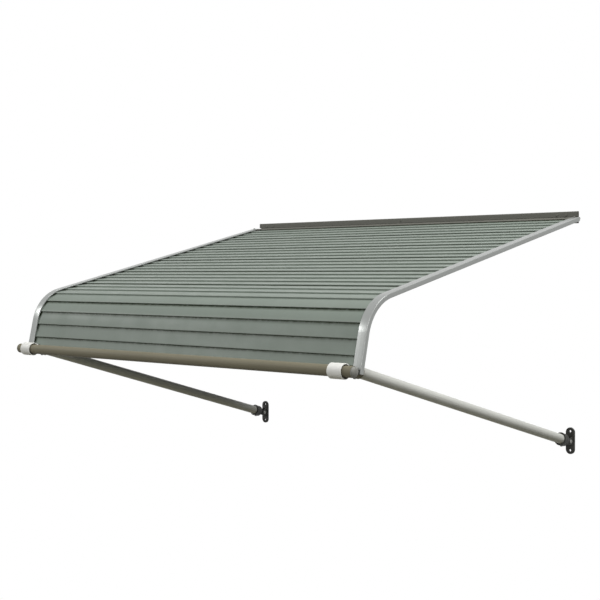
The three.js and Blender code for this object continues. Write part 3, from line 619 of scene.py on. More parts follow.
def streak_effect():
    """Lines along one direction: noise read at coordinates multiplied by Stretch, so that it changes fast
    across and slowly along."""
    tree, given, out = new_effect("streak", "Value", Vector=NOUGHT, Stretch=ONES, Low=0.0, High=1.0)
    drawn = calculated(tree, "MULTIPLY", given["Vector"], given["Stretch"], "ShaderNodeVectorMath")[0]
    lines = noise(tree, drawn, 1.0, detail=3.0, roughness=0.65)
    tree.links.new(spread(tree, lines, (0.3, 0.7), (given["Low"], given["High"])), out["Value"])
    return tree


def wear_effect():
    """Mask of a marked place, such as a lip or a foot: the mark times a cloudy value times Amount, held
    between 0 and 1."""
    tree, given, out = new_effect("wear", "Mask", Mark=0.0, Vector=NOUGHT, Scale=40.0, Amount=1.0)
    cloud = noise(tree, given["Vector"], given["Scale"], detail=5.0, roughness=0.7)
    lifted = spread(tree, cloud, (0.25, 0.65), (0.35, 1.0))
    masked = calculated(tree, "MULTIPLY", lifted, given["Mark"])[0]
    scaled = calculated(tree, "MULTIPLY", masked, given["Amount"], use_clamp=True)[0]
    tree.links.new(scaled, out["Mask"])
    return tree


EFFECTS = {"blotch": blotch_effect(), "streak": streak_effect(), "wear": wear_effect()}


def effect(tree, name, **values):
    """One of the shared effects placed in a material with its own values."""
    return node(tree, "ShaderNodeGroup", values, node_tree=EFFECTS[name]).outputs[0]


def blended(tree, mask, first, second):
    """Colour that goes from the first to the second as the mask goes from 0 to 1."""
    made = node(tree, "ShaderNodeMix", data_type="RGBA")
    give(tree, made.inputs[0], mask)
    for socket, colour in ((made.inputs[6], first), (made.inputs[7], second)):
        give(tree, socket, (*colour, 1.0) if isinstance(colour, tuple) else colour)
    return made.outputs[2]


def marked(tree, name):
    """Named value of a mesh's points."""
    return node(tree, "ShaderNodeAttribute", attribute_name=name).outputs["Fac"]


def new_finish(name, metallic=0.0, specular=0.5):
    """Material with a Principled shader whose even values are set on its own sockets."""
    material = bpy.data.materials.new(name)
    material.use_nodes = True
    tree = material.node_tree
    shader = tree.nodes["Principled BSDF"]
    shader.inputs["Metallic"].default_value = metallic
    shader.inputs["Specular IOR Level"].default_value = specular
    return material, tree, shader


def set_looks(tree, shader, colour, roughness, height, strength, distance):
    """Links a colour and a roughness to the shader, and a height through a Bump node."""
    tree.links.new(colour, shader.inputs["Base Color"])
    tree.links.new(roughness, shader.inputs["Roughness"])
    bump = node(tree, "ShaderNodeBump", {"Strength": strength, "Distance": distance, "Height": height})
    tree.links.new(bump.outputs[0], shader.inputs["Normal"])


def sheet_paint():
    """Grey-green baked paint on ribbed sheet: cloudy tone, faint rain lines down the slope, painted shade
    near black along the foot mark, and a paler line where the lip is rubbed."""
    material, tree, shader = new_finish("sheet_paint", specular=0.15)
    uv = node(tree, "ShaderNodeTexCoord").outputs["UV"]
    cloud = effect(tree, "blotch", Vector=uv, Scale=3.5, Low=0.0, High=1.0)
    tone = blended(tree, cloud, (0.2, 0.236, 0.204), (0.215, 0.252, 0.218))
    rain = effect(tree, "streak", Vector=uv, Stretch=(55.0, 4.0, 1.0), Low=0.0, High=0.16)
    washed = blended(tree, rain, tone, (0.18, 0.2, 0.17))
    # Painted shade: the foot mark turns the paint almost black where the shadows of the steps, of the
    # rail's lip and of the rafters' flanges fall.
    painted_shade = effect(tree, "wear", Mark=marked(tree, "foot"), Vector=uv, Scale=60.0, Amount=1.25)
    with_painted_shade = blended(tree, painted_shade, washed, (0.019, 0.027, 0.011))
    rubbed = effect(tree, "wear", Mark=marked(tree, "lip"), Vector=uv, Scale=90.0, Amount=0.25)
    colour = blended(tree, rubbed, with_painted_shade, (0.44, 0.46, 0.42))
    roughness = effect(tree, "blotch", Vector=uv, Scale=11.0, Low=0.36, High=0.5)
    peel = effect(tree, "blotch", Vector=uv, Scale=420.0, Low=0.0, High=1.0)
    set_looks(tree, shader, colour, roughness, peel, strength=0.06, distance=0.0004)
    return material


def drawn_metal(name, dark, light, rough, stretch, metallic=0.0, turn=NOUGHT, profiled=False):
    """Drawn or extruded aluminium: fine lines along the draw in tone, gloss and height, with slow clouding.
    On a profile, which has its own UV map and marks, the lip is rubbed paler and the inside is painted near
    black as shade."""
    material, tree, shader = new_finish(name, metallic=metallic, specular=0.15)
    place = node(tree, "ShaderNodeTexCoord").outputs["UV" if profiled else "Object"]
    place = node(tree, "ShaderNodeMapping", {"Vector": place, "Rotation": turn}).outputs[0]
    lines = effect(tree, "streak", Vector=place, Stretch=stretch, Low=0.0, High=1.0)
    tone = blended(tree, lines, dark, light)
    cloud = effect(tree, "blotch", Vector=place, Scale=6.0, Low=0.0, High=0.3)
    clouded = tuple(CLOUD_SHADE * v for v in dark)
    colour = blended(tree, cloud, tone, clouded)
    if profiled:
        rub = effect(tree, "wear", Mark=marked(tree, "lip"), Vector=place, Scale=50.0, Amount=0.2)
        rubbed = tuple(RUB_LIFT * v for v in light)
        colour = blended(tree, rub, colour, rubbed)
        # Painted shade: the inside mark turns the surface almost black, as in a shadowed channel or recess.
        painted_shade = effect(tree, "wear", Mark=marked(tree, "inside"), Vector=place, Scale=30.0, Amount=1.0)
        colour = blended(tree, painted_shade, colour, (0.02, 0.02, 0.018))
    roughness = effect(tree, "streak", Vector=place, Stretch=stretch, Low=rough[0], High=rough[1])
    set_looks(tree, shader, colour, roughness, lines, strength=0.03, distance=0.0002)
    return material


def moulded(name, dark, light, rough, grain, depth, specular=0.4, hollow=None):
    """Moulded or cast surface: cloudy tone and gloss, and a fine grain in height. A hollow is a radius
    about the bar's axis, inside which the surface is painted dark as the recess's shade."""
    material, tree, shader = new_finish(name, specular=specular)
    place = node(tree, "ShaderNodeTexCoord").outputs["Object"]
    cloud = effect(tree, "blotch", Vector=place, Scale=45.0, Low=0.0, High=1.0)
    colour = blended(tree, cloud, dark, light)
    # Painted shade inside the hollow radius, where the collar's recess lies in shadow.
    if hollow:
        across = calculated(tree, "MULTIPLY", place, (0.0, 1.0, 1.0), "ShaderNodeVectorMath")[0]
        axis = (0.0, BAR_Y * MM, BAR_Z * MM)
        away = calculated(tree, "DISTANCE", across, axis, "ShaderNodeVectorMath")["Value"]
        recess_shade = spread(tree, away, (hollow * MM, (hollow + GAP) * MM), (1.0, 0.0))
        colour = blended(tree, recess_shade, colour, (0.03, 0.03, 0.027))
    roughness = effect(tree, "blotch", Vector=place, Scale=130.0, Low=rough[0], High=rough[1])
    height = effect(tree, "blotch", Vector=place, Scale=grain, Low=0.0, High=1.0)
    set_looks(tree, shader, colour, roughness, height, strength=depth, distance=0.0005)
    return material


def plated_steel():
    """Zinc plating: crystal patches of slightly different tone and gloss."""
    material, tree, shader = new_finish("plated_steel", metallic=0.85)
    place = node(tree, "ShaderNodeTexCoord").outputs["Object"]
    patches = node(tree, "ShaderNodeTexVoronoi", {"Vector": place, "Scale": 700.0}).outputs["Distance"]
    colour = blended(tree, patches, (0.15, 0.15, 0.14), (0.25, 0.25, 0.235))
    roughness = effect(tree, "blotch", Vector=place, Scale=300.0, Low=0.42, High=0.6)
    set_looks(tree, shader, colour, roughness, patches, strength=0.1, distance=0.0002)
    return material


ARM_TURN = (sum(arm_frame(name)[2] for name in SIDES) / 2, 0.0, 0.0)
FINISHES = {
    "panel_paint": sheet_paint(),
    "header_paint": drawn_metal(
        "header_paint",
        dark=(0.123, 0.123, 0.107),
        light=(0.159, 0.157, 0.137),
        rough=(0.42, 0.55),
        stretch=(7.0, 500.0, 1.0),
        profiled=True,
    ),
    "mill_aluminium": drawn_metal(
        "mill_aluminium",
        dark=(0.317, 0.329, 0.319),
        light=(0.355, 0.368, 0.355),
        rough=(0.26, 0.34),
        stretch=(900.0, 9.0, 1.0),
        metallic=0.5,
        profiled=True,
    ),
    "bar_paint": drawn_metal(
        "bar_paint",
        dark=(0.175, 0.162, 0.112),
        light=(0.217, 0.2, 0.142),
        rough=(0.52, 0.66),
        stretch=(6.0, 500.0, 500.0),
    ),
    "arm_paint": drawn_metal(
        "arm_paint",
        dark=(0.585, 0.59, 0.55),
        light=(0.67, 0.675, 0.63),
        rough=(0.42, 0.55),
        stretch=(500.0, 6.0, 500.0),
        turn=ARM_TURN,
    ),
    "white_nylon": moulded(
        "white_nylon",
        dark=(0.74, 0.74, 0.7),
        light=(0.83, 0.83, 0.79),
        rough=(0.42, 0.56),
        grain=900.0,
        depth=0.05,
        hollow=COLLAR_RECESS_RADIUS,
    ),
    "black_casting": moulded(
        "black_casting",
        dark=(0.02, 0.02, 0.018),
        light=(0.036, 0.036, 0.032),
        rough=(0.45, 0.6),
        grain=650.0,
        depth=0.45,
        specular=0.32,
    ),
    "cap_plastic": moulded(
        "cap_plastic",
        dark=(0.2, 0.2, 0.181),
        light=(0.252, 0.25, 0.226),
        rough=(0.4, 0.55),
        grain=800.0,
        depth=0.12,
    ),
    "zinc_steel": plated_steel(),
}

# Panels


def panel_path(first_rib, last_run):
    """Middle line of a panel's sheet as (run, out): an upturned hook, a flange, then for each rib a rising
    flat and a step down, and a hem turned back under the front edge. With it, the runs of its crests and of
    its feet."""
    half = SHEET / 2
    start = first_rib * RIB_PITCH
    low = -RIB_STEP - half
    begins = start + np.arange(RIBS_PER_PANEL) * RIB_PITCH
    ends = np.minimum(begins + RIB_PITCH, last_run)
    crests = np.stack([ends - half, RIB_STEP * ((ends - begins) / RIB_PITCH - 1) - half], axis=1)
    feet = np.stack([ends - half, np.full(len(ends), low)], axis=1)
    steps = np.stack([crests, feet], axis=1).reshape(-1, 2)[:-1]
    back = start - PANEL_LAP + half
    hem = -RIB_STEP + GAP + half
    first = [(back, -RIB_STEP + PANEL_HOOK), (back, low), (start, low)]
    last = [(last_run - half, hem), (last_run - PANEL_HEM, hem)]
    return np.concatenate([first, steps, last]), crests[:, 0], np.concatenate([[start], feet[:-1, 0]])


def sheet_bow(x, run, to_fold, phase):
    """Bow of rolled sheet: SHEET_BOW times sin(x / SHORT_WAVE + phase) times
    sin(x / LONG_WAVE + 2 phase + run / SLOPE_WAVE), fading out at the folds and at the sheet's ends."""
    at_fold = np.clip(to_fold / BOW_FOLD_FADE, 0.0, 1.0)
    at_end = np.clip((PANEL_END - np.abs(x)) / BOW_END_FADE, 0.0, 1.0)
    slow = np.sin(x / LONG_WAVE + 2.0 * phase + run / SLOPE_WAVE)
    return SHEET_BOW * (at_fold * at_end) * np.sin(x / SHORT_WAVE + phase) * slow


def panel_marks(x, run, out, to_crest, from_feet, step_shade):
    """Marks on a panel, from 0 to 1. The lip fades away from each crest. Painted shade fades away from each
    foot, where the step's shadow falls, at full strength from the panel's first foot under the rail's lip
    and times step_shade from the others, and lies in the valleys beside the rafters, under their flanges,
    further out on the roof than past the bend's start."""
    lip = np.clip(1.0 - to_crest / LIP_RUB, 0.0, 1.0) * (out > LIP_LEVEL)
    # Painted shade at the foot of each step, wider in the recess under the rail's lip.
    share = np.where(np.argmin(from_feet, axis=1) == 0, 1.0, step_shade)
    reach = np.where(run < RAIL_SHADE, RAIL_SHADE_REACH, FOOT_SHADE_REACH)
    to_foot = np.min(from_feet, axis=1)
    foot = share * np.clip(reach - to_foot / FOOT_FADE, 0.0, 1.0) * (out < FOOT_LEVEL)
    # Painted shade in the valleys beside the rafters, where their flanges shade the sheet.
    tucks = np.where(run < BEND_START, ROOF_TUCKS, DROP_TUCKS)
    valley = np.clip(-VALLEY_SLOPE * out / RIB_STEP - VALLEY_START, 0.0, 1.0)
    painted_tuck_shade = valley * np.clip((np.abs(x) - RAFTER_INSIDE) / TUCK + tucks, 0.0, 1.0)
    painted_shade = np.maximum(foot, painted_tuck_shade)
    return {"lip": np.broadcast_to(lip, painted_shade.shape), "foot": painted_shade}


def add_panel(name, first_rib, last_run, phase, step_shade):
    """Panel: the two faces of its folded sheet carried along the width and bowed a little, with closer
    columns where the painted shade beside the rafters begins and ends."""
    corners, crests, feet = panel_path(first_rib, last_run)
    path = refined(rounded(corners, SHEET_FOLD), SHEET_SPACING)
    upper, under = sheet_lines(path, SHEET)
    loop = np.concatenate([upper, under[::-1]])
    run, out = loop[:, 0], loop[:, 1]
    to_crest = np.min(np.abs(run[:, None] - crests[None, :]), axis=1)
    from_feet = np.abs(run[:, None] - feet[None, :])
    to_fold = np.minimum(to_crest, np.min(from_feet, axis=1))
    inner = RAFTER_INSIDE - (ROOF_TUCKS + 1.0) * TUCK
    beside = RAFTER_INSIDE + np.array([-ROOF_TUCKS * TUCK, -DROP_TUCKS * TUCK, 0.0, UNDER_LIP])
    ends = np.append(beside, PANEL_END)
    x = np.concatenate([-ends[::-1], np.linspace(-inner, inner, PANEL_COLUMNS), ends])[:, None]
    y, z = side_point(run[None, :], out[None, :] + sheet_bow(x, run, to_fold, phase))
    grid = stacked(x, y, z)
    uv = stacked(x, run[None, :]) * MM
    marks = panel_marks(x, run, out, to_crest, from_feet, step_shade)
    return shell(name, grid, sheet_faces(len(x), len(path)), uv, marks)


def add_panels():
    """Six roof panels, and the front panel with its lower corners cut away for the arms' necks."""
    for index in range(ROOF_PANELS):
        first = index * RIBS_PER_PANEL
        last_run = (first + RIBS_PER_PANEL) * RIB_PITCH
        step_shade = ROOF_STEP_SHADE if index + 1 < ROOF_PANELS else BEND_STEP_SHADE
        sheet = add_panel(f"roof_sheet_{index + 1}", first, last_run, PHASE_STEP * index, step_shade)
        fit(sheet, "canopy", "panel_paint", f"roof_panel_{index + 1}")
    front_end = LAST_RIB - FRONT_TRIM
    first = ROOF_PANELS * RIBS_PER_PANEL
    sheet = add_panel("front_sheet", first, front_end, FRONT_PHASE, FRONT_STEP_SHADE)
    corner = side_block(front_end - CORNER_NOTCH, front_end + NOTCH_PAST, -NOTCH_BELOW, NOTCH_ABOVE)
    inner, outer = ARM_PLACE - 2 * NECK_RADIUS, HALF_WIDTH + NOTCH_SIDE
    notches = [prism("notch", corner, side * inner, side * outer) for side in SIDES.values()]
    fit(worked(sheet, "DIFFERENCE", *notches), "canopy", "panel_paint", "front_panel")


# Rafters, header and rail


def add_rafter(name):
    """Rafter: the closed outline of a channel, with a lip along its outer flange and eased corners, carried
    along the side view and closely spaced in the bend. The lip is cut away over the rail's tab."""
    side = SIDES[name]
    top, foot = RAFTER_ABOVE - RAFTER_WALL, RAFTER_WALL - RAFTER_BELOW
    lip, web = RAFTER_INSIDE + RAFTER_WALL, HALF_WIDTH - RAFTER_WALL
    corners_and_eases = np.array(
        [
            (RAFTER_INSIDE, RAFTER_LIP_CLEAR, 0.35),
            (RAFTER_INSIDE, RAFTER_ABOVE, 0.9),
            (HALF_WIDTH, RAFTER_ABOVE, 1.6),
            (HALF_WIDTH, -RAFTER_BELOW, 1.6),
            (RAFTER_INSIDE, -RAFTER_BELOW, 0.5),
            (RAFTER_INSIDE, foot, 0.5),
            (web, foot, 0.6),
            (web, top, 0.6),
            (lip, top, 0.4),
            (lip, RAFTER_LIP_CLEAR, 0.35),
        ]
    )
    outline = rounded_loop(corners_and_eases[:, :2], corners_and_eases[:, 2], RAFTER_EDGE_POINTS)
    across, out = outline.T
    run = np.concatenate(
        [
            np.linspace(RAFTER_REAR, BEND_START, ROOF_RUNS, endpoint=False),
            np.linspace(BEND_START, BEND_END, BEND_RUNS, endpoint=False),
            np.linspace(BEND_END, LAST_RIB + RAFTER_FRONT, DROP_RUNS),
        ]
    )[:, None]
    y, z = side_point(run, out[None, :])
    grid = stacked(side * across[None, :], y, z)
    uv = stacked(lengths(outline)[None, :], run) * MM
    edge = np.clip(1.0 - np.abs(across - RAFTER_INSIDE) / RAFTER_RUB, 0.0, 1.0) * (out > top)
    # The inside of the channel is marked for painted shade, dark as in shadow.
    inside = (across > lip - INSIDE_PAST_LIP) & (across < web + INSIDE_SLACK)
    inside &= (out < top + INSIDE_SLACK) & (out > foot - INSIDE_SLACK)
    marks = {"lip": np.broadcast_to(edge, y.shape), "inside": np.broadcast_to(inside, y.shape)}
    rafter = shell(f"{name}_channel", grid, outline_faces(len(run), len(outline)), uv, marks)
    opening = side_block(0.0, RAFTER_LIP_FROM, top, -RAFTER_WALL)
    notch = prism("notch", opening, side * (RAFTER_INSIDE - LIP_CUT_SIDE), side * (lip + LIP_CUT_SIDE))
    fit(worked(rafter, "DIFFERENCE", notch), "canopy", "mill_aluminium", f"{name}_rafter")


def add_header():
    """Header: back plate, top and fascia as one bent wall, whose foot curls forward into a hook bead, with
    holes for the wall screws and a drain hole in the fascia."""
    half = HEADER_WALL / 2
    fascia = half - HEADER_DEPTH
    top = HEADER_TOP - half
    corners = [(fascia, FASCIA_BOTTOM), (fascia, top), (-half, top), (-half, HEADER_BOTTOM)]
    bead = arc(BEAD_RADIUS - half, 0.0, -BEAD_TURN, BEAD_POINTS)[1:] + (-BEAD_RADIUS, HEADER_BOTTOM)
    path = np.concatenate([refined(rounded(corners, HEADER_FOLD), HEADER_SPACING), bead])
    outer, inner = sheet_lines(path, HEADER_WALL)
    end = HALF_WIDTH - HEADER_INSET
    x = np.linspace(-end, end, HEADER_COLUMNS)
    grid = carried(x, np.concatenate([outer, inner[::-1]]))
    length = lengths(path)
    along = np.concatenate([length, length[::-1]])
    uv = stacked(x[:, None], along) * MM
    edge = np.clip(1.0 - np.minimum(along, length[-1] - along) / HEADER_RUB, 0.0, 1.0)
    marks = {"lip": np.broadcast_to(edge, grid.shape[:2])}
    header = shell("header_profile", grid, sheet_faces(len(x), len(path)), uv, marks)
    end_hole = end - WALL_HOLE_INSET
    hole_frames = [
        frame_along((hole, -half, WALL_HOLE_LEVEL), Y_AXIS, Z_AXIS)
        for hole in np.linspace(-end_hole, end_hole, WALL_HOLES)
    ]
    holes = [drill(WALL_HOLE_RADIUS, WALL_DRILL, hole_frame, DRILL_SIDES) for hole_frame in hole_frames]
    weep = frame_along((0, fascia, FASCIA_SCREW_LEVEL), Y_AXIS, Z_AXIS)
    holes.append(drill(WEEP_RADIUS, WEEP_DRILL, weep, DRILL_SIDES))
    fit(worked(header, "DIFFERENCE", *holes), "canopy", "header_paint", "wall_header")


def add_rail():
    """Rear rail: its section's eased outline carried along the width, with a flat tab joined to each end.
    The faces that look down at the panels are marked as inside, so that their finish paints them dark as
    shade."""
    front = -HEADER_DEPTH + HEADER_WALL + 2 * GAP
    back = front + RAIL_WALL
    web_top = FASCIA_BOTTOM - RAIL_WEB_CLEAR
    web_out = -HEADER_DEPTH - RAIL_WEB_REACH
    lip_out, lip_level = RAIL_LIP_BACK - FIRST_RIB_OUT, RAIL_LIP_RISE - RIB_STEP
    outline = rounded_loop(
        [
            (back, RAIL_BOTTOM),
            (back, RAIL_TOP),
            (front, RAIL_TOP),
            (front, web_top),
            (web_out, web_top),
            (lip_out, lip_level),
            (lip_out + RAIL_WALL, lip_level - RAIL_WALL / 2),
            (web_out + RAIL_WALL / 2, web_top - RAIL_WALL),
            (front, web_top - RAIL_WALL),
            (front, RAIL_BOTTOM),
        ],
        RAIL_EASE,
    )
    end = RAFTER_INSIDE - 2 * GAP
    x = np.linspace(-end, end, RAIL_COLUMNS)
    grid = carried(x, outline)
    uv = stacked(x[:, None], outline[:, 1]) * MM
    # Painted shade under the lip, through the inside mark.
    past_lip = outline[:, 0] - lip_out
    under = (past_lip > UNDER_FROM) & (outline[:, 1] < past_lip * UNDER_SLOPE + lip_level - UNDER_FALL)
    marks = {"inside": np.broadcast_to(under, grid.shape[:2])}
    rail = shell("rear_profile", grid, outline_faces(len(x), len(outline)), uv, marks)
    top = RAFTER_ABOVE - RAFTER_WALL - GAP
    tab = side_block(TAB_START, TAB_START + TAB_LENGTH, top - RAFTER_WALL, top)
    inner = RAFTER_INSIDE - TAB_REACH
    tabs = [prism("tab", tab, side * inner, side * PANEL_END) for side in SIDES.values()]
    fit(worked(rail, "UNION", *tabs), "canopy", "header_paint", "rear_rail")


# Front bar and fixings


def hex_screw(name, matrix, radius, head_radius, head, length):
    """Flanged hexagon screw: a turned profile whose head rows are pulled from a circle to a hexagon,
    1.08 r cos 30 / cos(a mod 60 - 30), with a chamfered crown and a tapered tip. A row is its radius, its
    place along the screw and its share of the hexagon."""
    flat = 0.82 * head_radius
    rows = np.array(
        [
            (0.0, -head, 0.0),
            (0.82 * flat, -head, 0.3),
            (flat, -0.86 * head, 1.0),
            (flat, -0.32 * head, 1.0),
            (0.96 * head_radius, -0.26 * head, 0.0),
            (head_radius, -0.14 * head, 0.0),
            (head_radius, 0.0, 0.0),
            (radius, 0.0, 0.0),
            (radius, length - 1.4 * radius, 0.0),
            (0.0, length, 0.0),
        ]
    )
    angle = np.linspace(0.0, 2 * math.pi, SCREW_SIDES, endpoint=False)[:, None]
    sixth = math.pi / 3
    hexagon = math.cos(sixth / 2) / np.cos(np.mod(angle, sixth) - sixth / 2) * 1.08
    reach = rows[:, 0] * (1 - rows[:, 2] + rows[:, 2] * hexagon)
    grid = stacked(reach * np.sin(angle), rows[:, 1], reach * np.cos(angle))
    uv = stacked(angle * head_radius, rows[:, 1]) * MM
    faces = grid_faces(SCREW_SIDES, len(rows), True)
    return shell(name, placed(grid, matrix), faces, uv, crease=SCREW_CREASE)


def plain_screw(name, matrix, length):
    """Hexagon screw of the small size that fixes the fascia, the rafters and the arms."""
    return hex_screw(name, matrix, SCREW_RADIUS, SCREW_HEAD_RADIUS, SCREW_HEAD, length)


def add_bar():
    """Front bar: a tube turned about its axis, with eased ends."""
    bar = turned(
        "front_tube",
        [
            (TUBE_BORE, -BAR_HALF),
            (TUBE_RADIUS - TUBE_EASE, -BAR_HALF),
            (TUBE_RADIUS, TUBE_EASE - BAR_HALF),
            (TUBE_RADIUS, BAR_HALF - TUBE_EASE),
            (TUBE_RADIUS - TUBE_EASE, BAR_HALF),
            (TUBE_BORE, BAR_HALF),
        ],
        along_bar(0.0),
        TUBE_SIDES,
        ring=True,
    )
    fit(bar, "canopy", "bar_paint", "front_bar")


def add_cap(name):
    """Bar cap: a plug, a rim and a dome whose profile is a quarter of an ellipse."""
    side = SIDES[name]
    plug = [
        (0.0, -CAP_PLUG),
        (PLUG_RADIUS - PLUG_EASE, -CAP_PLUG),
        (PLUG_RADIUS, PLUG_EASE - CAP_PLUG),
        (PLUG_RADIUS, GAP),
    ]
    rim = [
        (CAP_RIM_RADIUS - CAP_EASE, GAP),
        (CAP_RIM_RADIUS, GAP + CAP_EASE),
        (CAP_RIM_RADIUS, CAP_RIM - CAP_EASE),
        (CAP_RIM_RADIUS - CAP_EASE, CAP_RIM),
    ]
    dome = quarter(CAP_RIM_RADIUS - CAP_DOME_INSET, CAP_DOME, DOME_POINTS) + (0.0, CAP_RIM)
    cap = turned(f"{name}_end_cap", np.concatenate([plug, rim, dome]), along_bar(side * BAR_HALF, side))
    fit(cap, "canopy", "cap_plastic", f"{name}_bar_cap")


def add_screws(name):
    """Two fascia screws, the screw that ties the rafter to the rail's tab, and the bolt that holds the
    bar's saddle from inside the rafter."""
    side = SIDES[name]
    for index, inset in enumerate(FASCIA_SCREW_INSETS, 1):
        origin = (side * (HALF_WIDTH - inset), -HEADER_DEPTH - GAP, FASCIA_SCREW_LEVEL)
        place = frame_along(origin, Y_AXIS, Z_AXIS)
        screw = plain_screw(f"{name}_fascia_fixing_{index}", place, FASCIA_SCREW_LENGTH)
        fit(screw, "canopy", "header_paint", f"{name}_fascia_screw_{index}")
    place = on_side(side * RAFTER_MIDDLE, TAB_SCREW_RUN, RAFTER_ABOVE + GAP)
    screw = plain_screw(f"{name}_rafter_fixing", place, TAB_SCREW_LENGTH)
    fit(screw, "canopy", "zinc_steel", f"{name}_rafter_screw")
    under = on_side(side * RAFTER_MIDDLE, BOLT_RUN, RAFTER_ABOVE - RAFTER_WALL - GAP)
    outwards = under @ np.diag([1.0, -1.0, -1.0, 1.0])
    sizes = (BOLT_RADIUS, BOLT_HEAD_RADIUS, SCREW_HEAD, BOLT_LENGTH)
    bolt = hex_screw(f"{name}_saddle_bolt", outwards, *sizes)
    fit(bolt, "canopy", "zinc_steel", f"{name}_bar_bolt")


def add_saddle(name):
    """Bar saddle: a bevelled block on the rafter's outer face, hollowed by the bar's seat."""
    middle = SIDES[name] * RAFTER_MIDDLE
    bed, top = RAFTER_ABOVE + GAP, BAR_STANDOFF - TUBE_RADIUS / 3
    block = side_block(BAR_RUN - SADDLE_ABOVE, BAR_RUN + SADDLE_BELOW, bed, top)
    saddle = prism(f"{name}_saddle_block", block, middle - SADDLE_HALF, middle + SADDLE_HALF)
    eased(saddle, SADDLE_EASE)
    cradle = drill(TUBE_SEAT, CRADLE_DRILL, along_bar(middle), TUBE_SIDES)
    fit(worked(saddle, "DIFFERENCE", cradle), "canopy", "black_casting", f"{name}_bar_saddle")


# Arms


def add_collar(name, matrix):
    """Collar: a sleeve on the bar and a neck and spigot along the arm, joined, then bored and recessed."""
    half = COLLAR_LENGTH / 2
    edge = quarter(COLLAR_EASE, COLLAR_EASE, EDGE_POINTS)
    edge += (COLLAR_RADIUS - COLLAR_EASE, half - COLLAR_EASE)
    sleeve = np.concatenate([[(0.0, -half)], edge[::-1] * (1, -1), edge, [(0.0, half)]])
    sleeve_frame = along_bar(SIDES[name] * (ARM_PLACE - COLLAR_OFFSET))
    collar = turned(f"{name}_swivel", sleeve, sleeve_frame, TUBE_SIDES)
    spigot_end = ARM_TUBE_START + SPIGOT_LENGTH
    neck = [
        (0.0, 0.0),
        (NECK_RADIUS, 0.0),
        (NECK_RADIUS, ARM_TUBE_START),
        (PLUG_RADIUS, ARM_TUBE_START),
        (PLUG_RADIUS, spigot_end - PLUG_EASE),
        (PLUG_RADIUS - PLUG_EASE, spigot_end),
        (0.0, spigot_end),
    ]
    recess_end = half - COLLAR_RECESS
    half_bore = [
        (TUBE_SEAT, recess_end),
        (COLLAR_RECESS_RADIUS, recess_end),
        (COLLAR_RECESS_RADIUS, half + BORE_PAST),
        (0.0, half + BORE_PAST),
    ]
    bore = np.concatenate([np.array(half_bore[::-1]) * (1, -1), half_bore])
    worked(collar, "UNION", turned("neck", neck, tube_frame(matrix), NECK_SIDES))
    worked(collar, "DIFFERENCE", turned("bore", bore, sleeve_frame, TUBE_SIDES))
    fit(collar, f"{name}_arm", "white_nylon", f"{name}_collar")


def add_ferrule(name, matrix):
    """Front ferrule: a turned cup with eased edges, open to the tube and holed for the collar's neck."""
    end = FERRULE_START + FERRULE_LENGTH
    profile = [
        (NECK_RADIUS + NECK_CLEAR, FERRULE_START),
        (FERRULE_RADIUS - 1.2, FERRULE_START),
        (FERRULE_RADIUS - 0.35, FERRULE_START + 0.35),
        (FERRULE_RADIUS, FERRULE_START + 1.2),
        (FERRULE_RADIUS, end - 0.9),
        (FERRULE_RADIUS - 0.3, end - 0.3),
        (FERRULE_RADIUS - 0.9, end),
        (TUBE_SEAT, end),
        (TUBE_SEAT, FERRULE_START + FERRULE_WALL),
        (NECK_RADIUS + NECK_CLEAR, FERRULE_START + FERRULE_WALL),
    ]
    ferrule = turned(f"{name}_front_sleeve", profile, tube_frame(matrix), ring=True)
    fit(ferrule, f"{name}_arm", "bar_paint", f"{name}_front_ferrule")


def add_strut(name, matrix, floor):
    """Arm tube: a turned ring from the ferrule's floor to the socket's."""
    start, end = ARM_TUBE_START, floor - GAP
    profile = [(TUBE_BORE, start), (TUBE_RADIUS, start), (TUBE_RADIUS, end), (TUBE_BORE, end)]
    strut = turned(f"{name}_strut", profile, tube_frame(matrix), TUBE_SIDES, ring=True)
    fit(strut, f"{name}_arm", "arm_paint", f"{name}_arm_tube")


def add_socket(name, matrix, pivot, floor):
    """Rear socket: a turned cup with a flared mouth, joined to a round-nosed tongue with the rivet's
    hole."""
    mouth = floor - SOCKET_DEPTH
    back = floor + SOCKET_FLOOR
    profile = [
        (0.0, floor),
        (TUBE_SEAT, floor),
        (TUBE_SEAT, mouth),
        (SOCKET_RIM_RADIUS - 0.9, mouth),
        (SOCKET_RIM_RADIUS - 0.25, mouth + 0.3),
        (SOCKET_RIM_RADIUS, mouth + 0.9),
        (SOCKET_RIM_RADIUS, mouth + 2.6),
        (SOCKET_RIM_RADIUS - 0.2, mouth + 3.2),
        (SOCKET_RADIUS, mouth + 4.5),
        (SOCKET_RADIUS, floor - 2.6),
        (SOCKET_RADIUS - 0.5, floor - 1.4),
        (SOCKET_RADIUS - 2.0, floor + 0.4),
        (KNUCKLE_RADIUS + 1.6, back - 0.6),
        (KNUCKLE_RADIUS + 0.4, back),
        (0.0, back),
    ]
    cup = turned(f"{name}_wall_socket", profile, tube_frame(matrix))
    nose = arc(KNUCKLE_RADIUS, -math.pi / 2, math.pi / 2, NOSE_POINTS) + (pivot, ARM_RISE)
    root = floor + SOCKET_FLOOR / 2
    outline = np.concatenate([[(root, nose[0, 1])], nose, [(root, nose[-1, 1])]])
    tongue = eased(prism("tongue", outline, -TONGUE_WIDTH / 2, TONGUE_WIDTH / 2, matrix), TONGUE_EASE)
    pin = matrix @ frame_along((0, pivot, ARM_RISE), X_AXIS, Z_AXIS)
    worked(cup, "UNION", tongue)
    worked(cup, "DIFFERENCE", drill(PIN_RADIUS + GAP, TONGUE_DRILL, pin, PIN_HOLE_SIDES))
    fit(cup, f"{name}_arm", "black_casting", f"{name}_rear_socket")


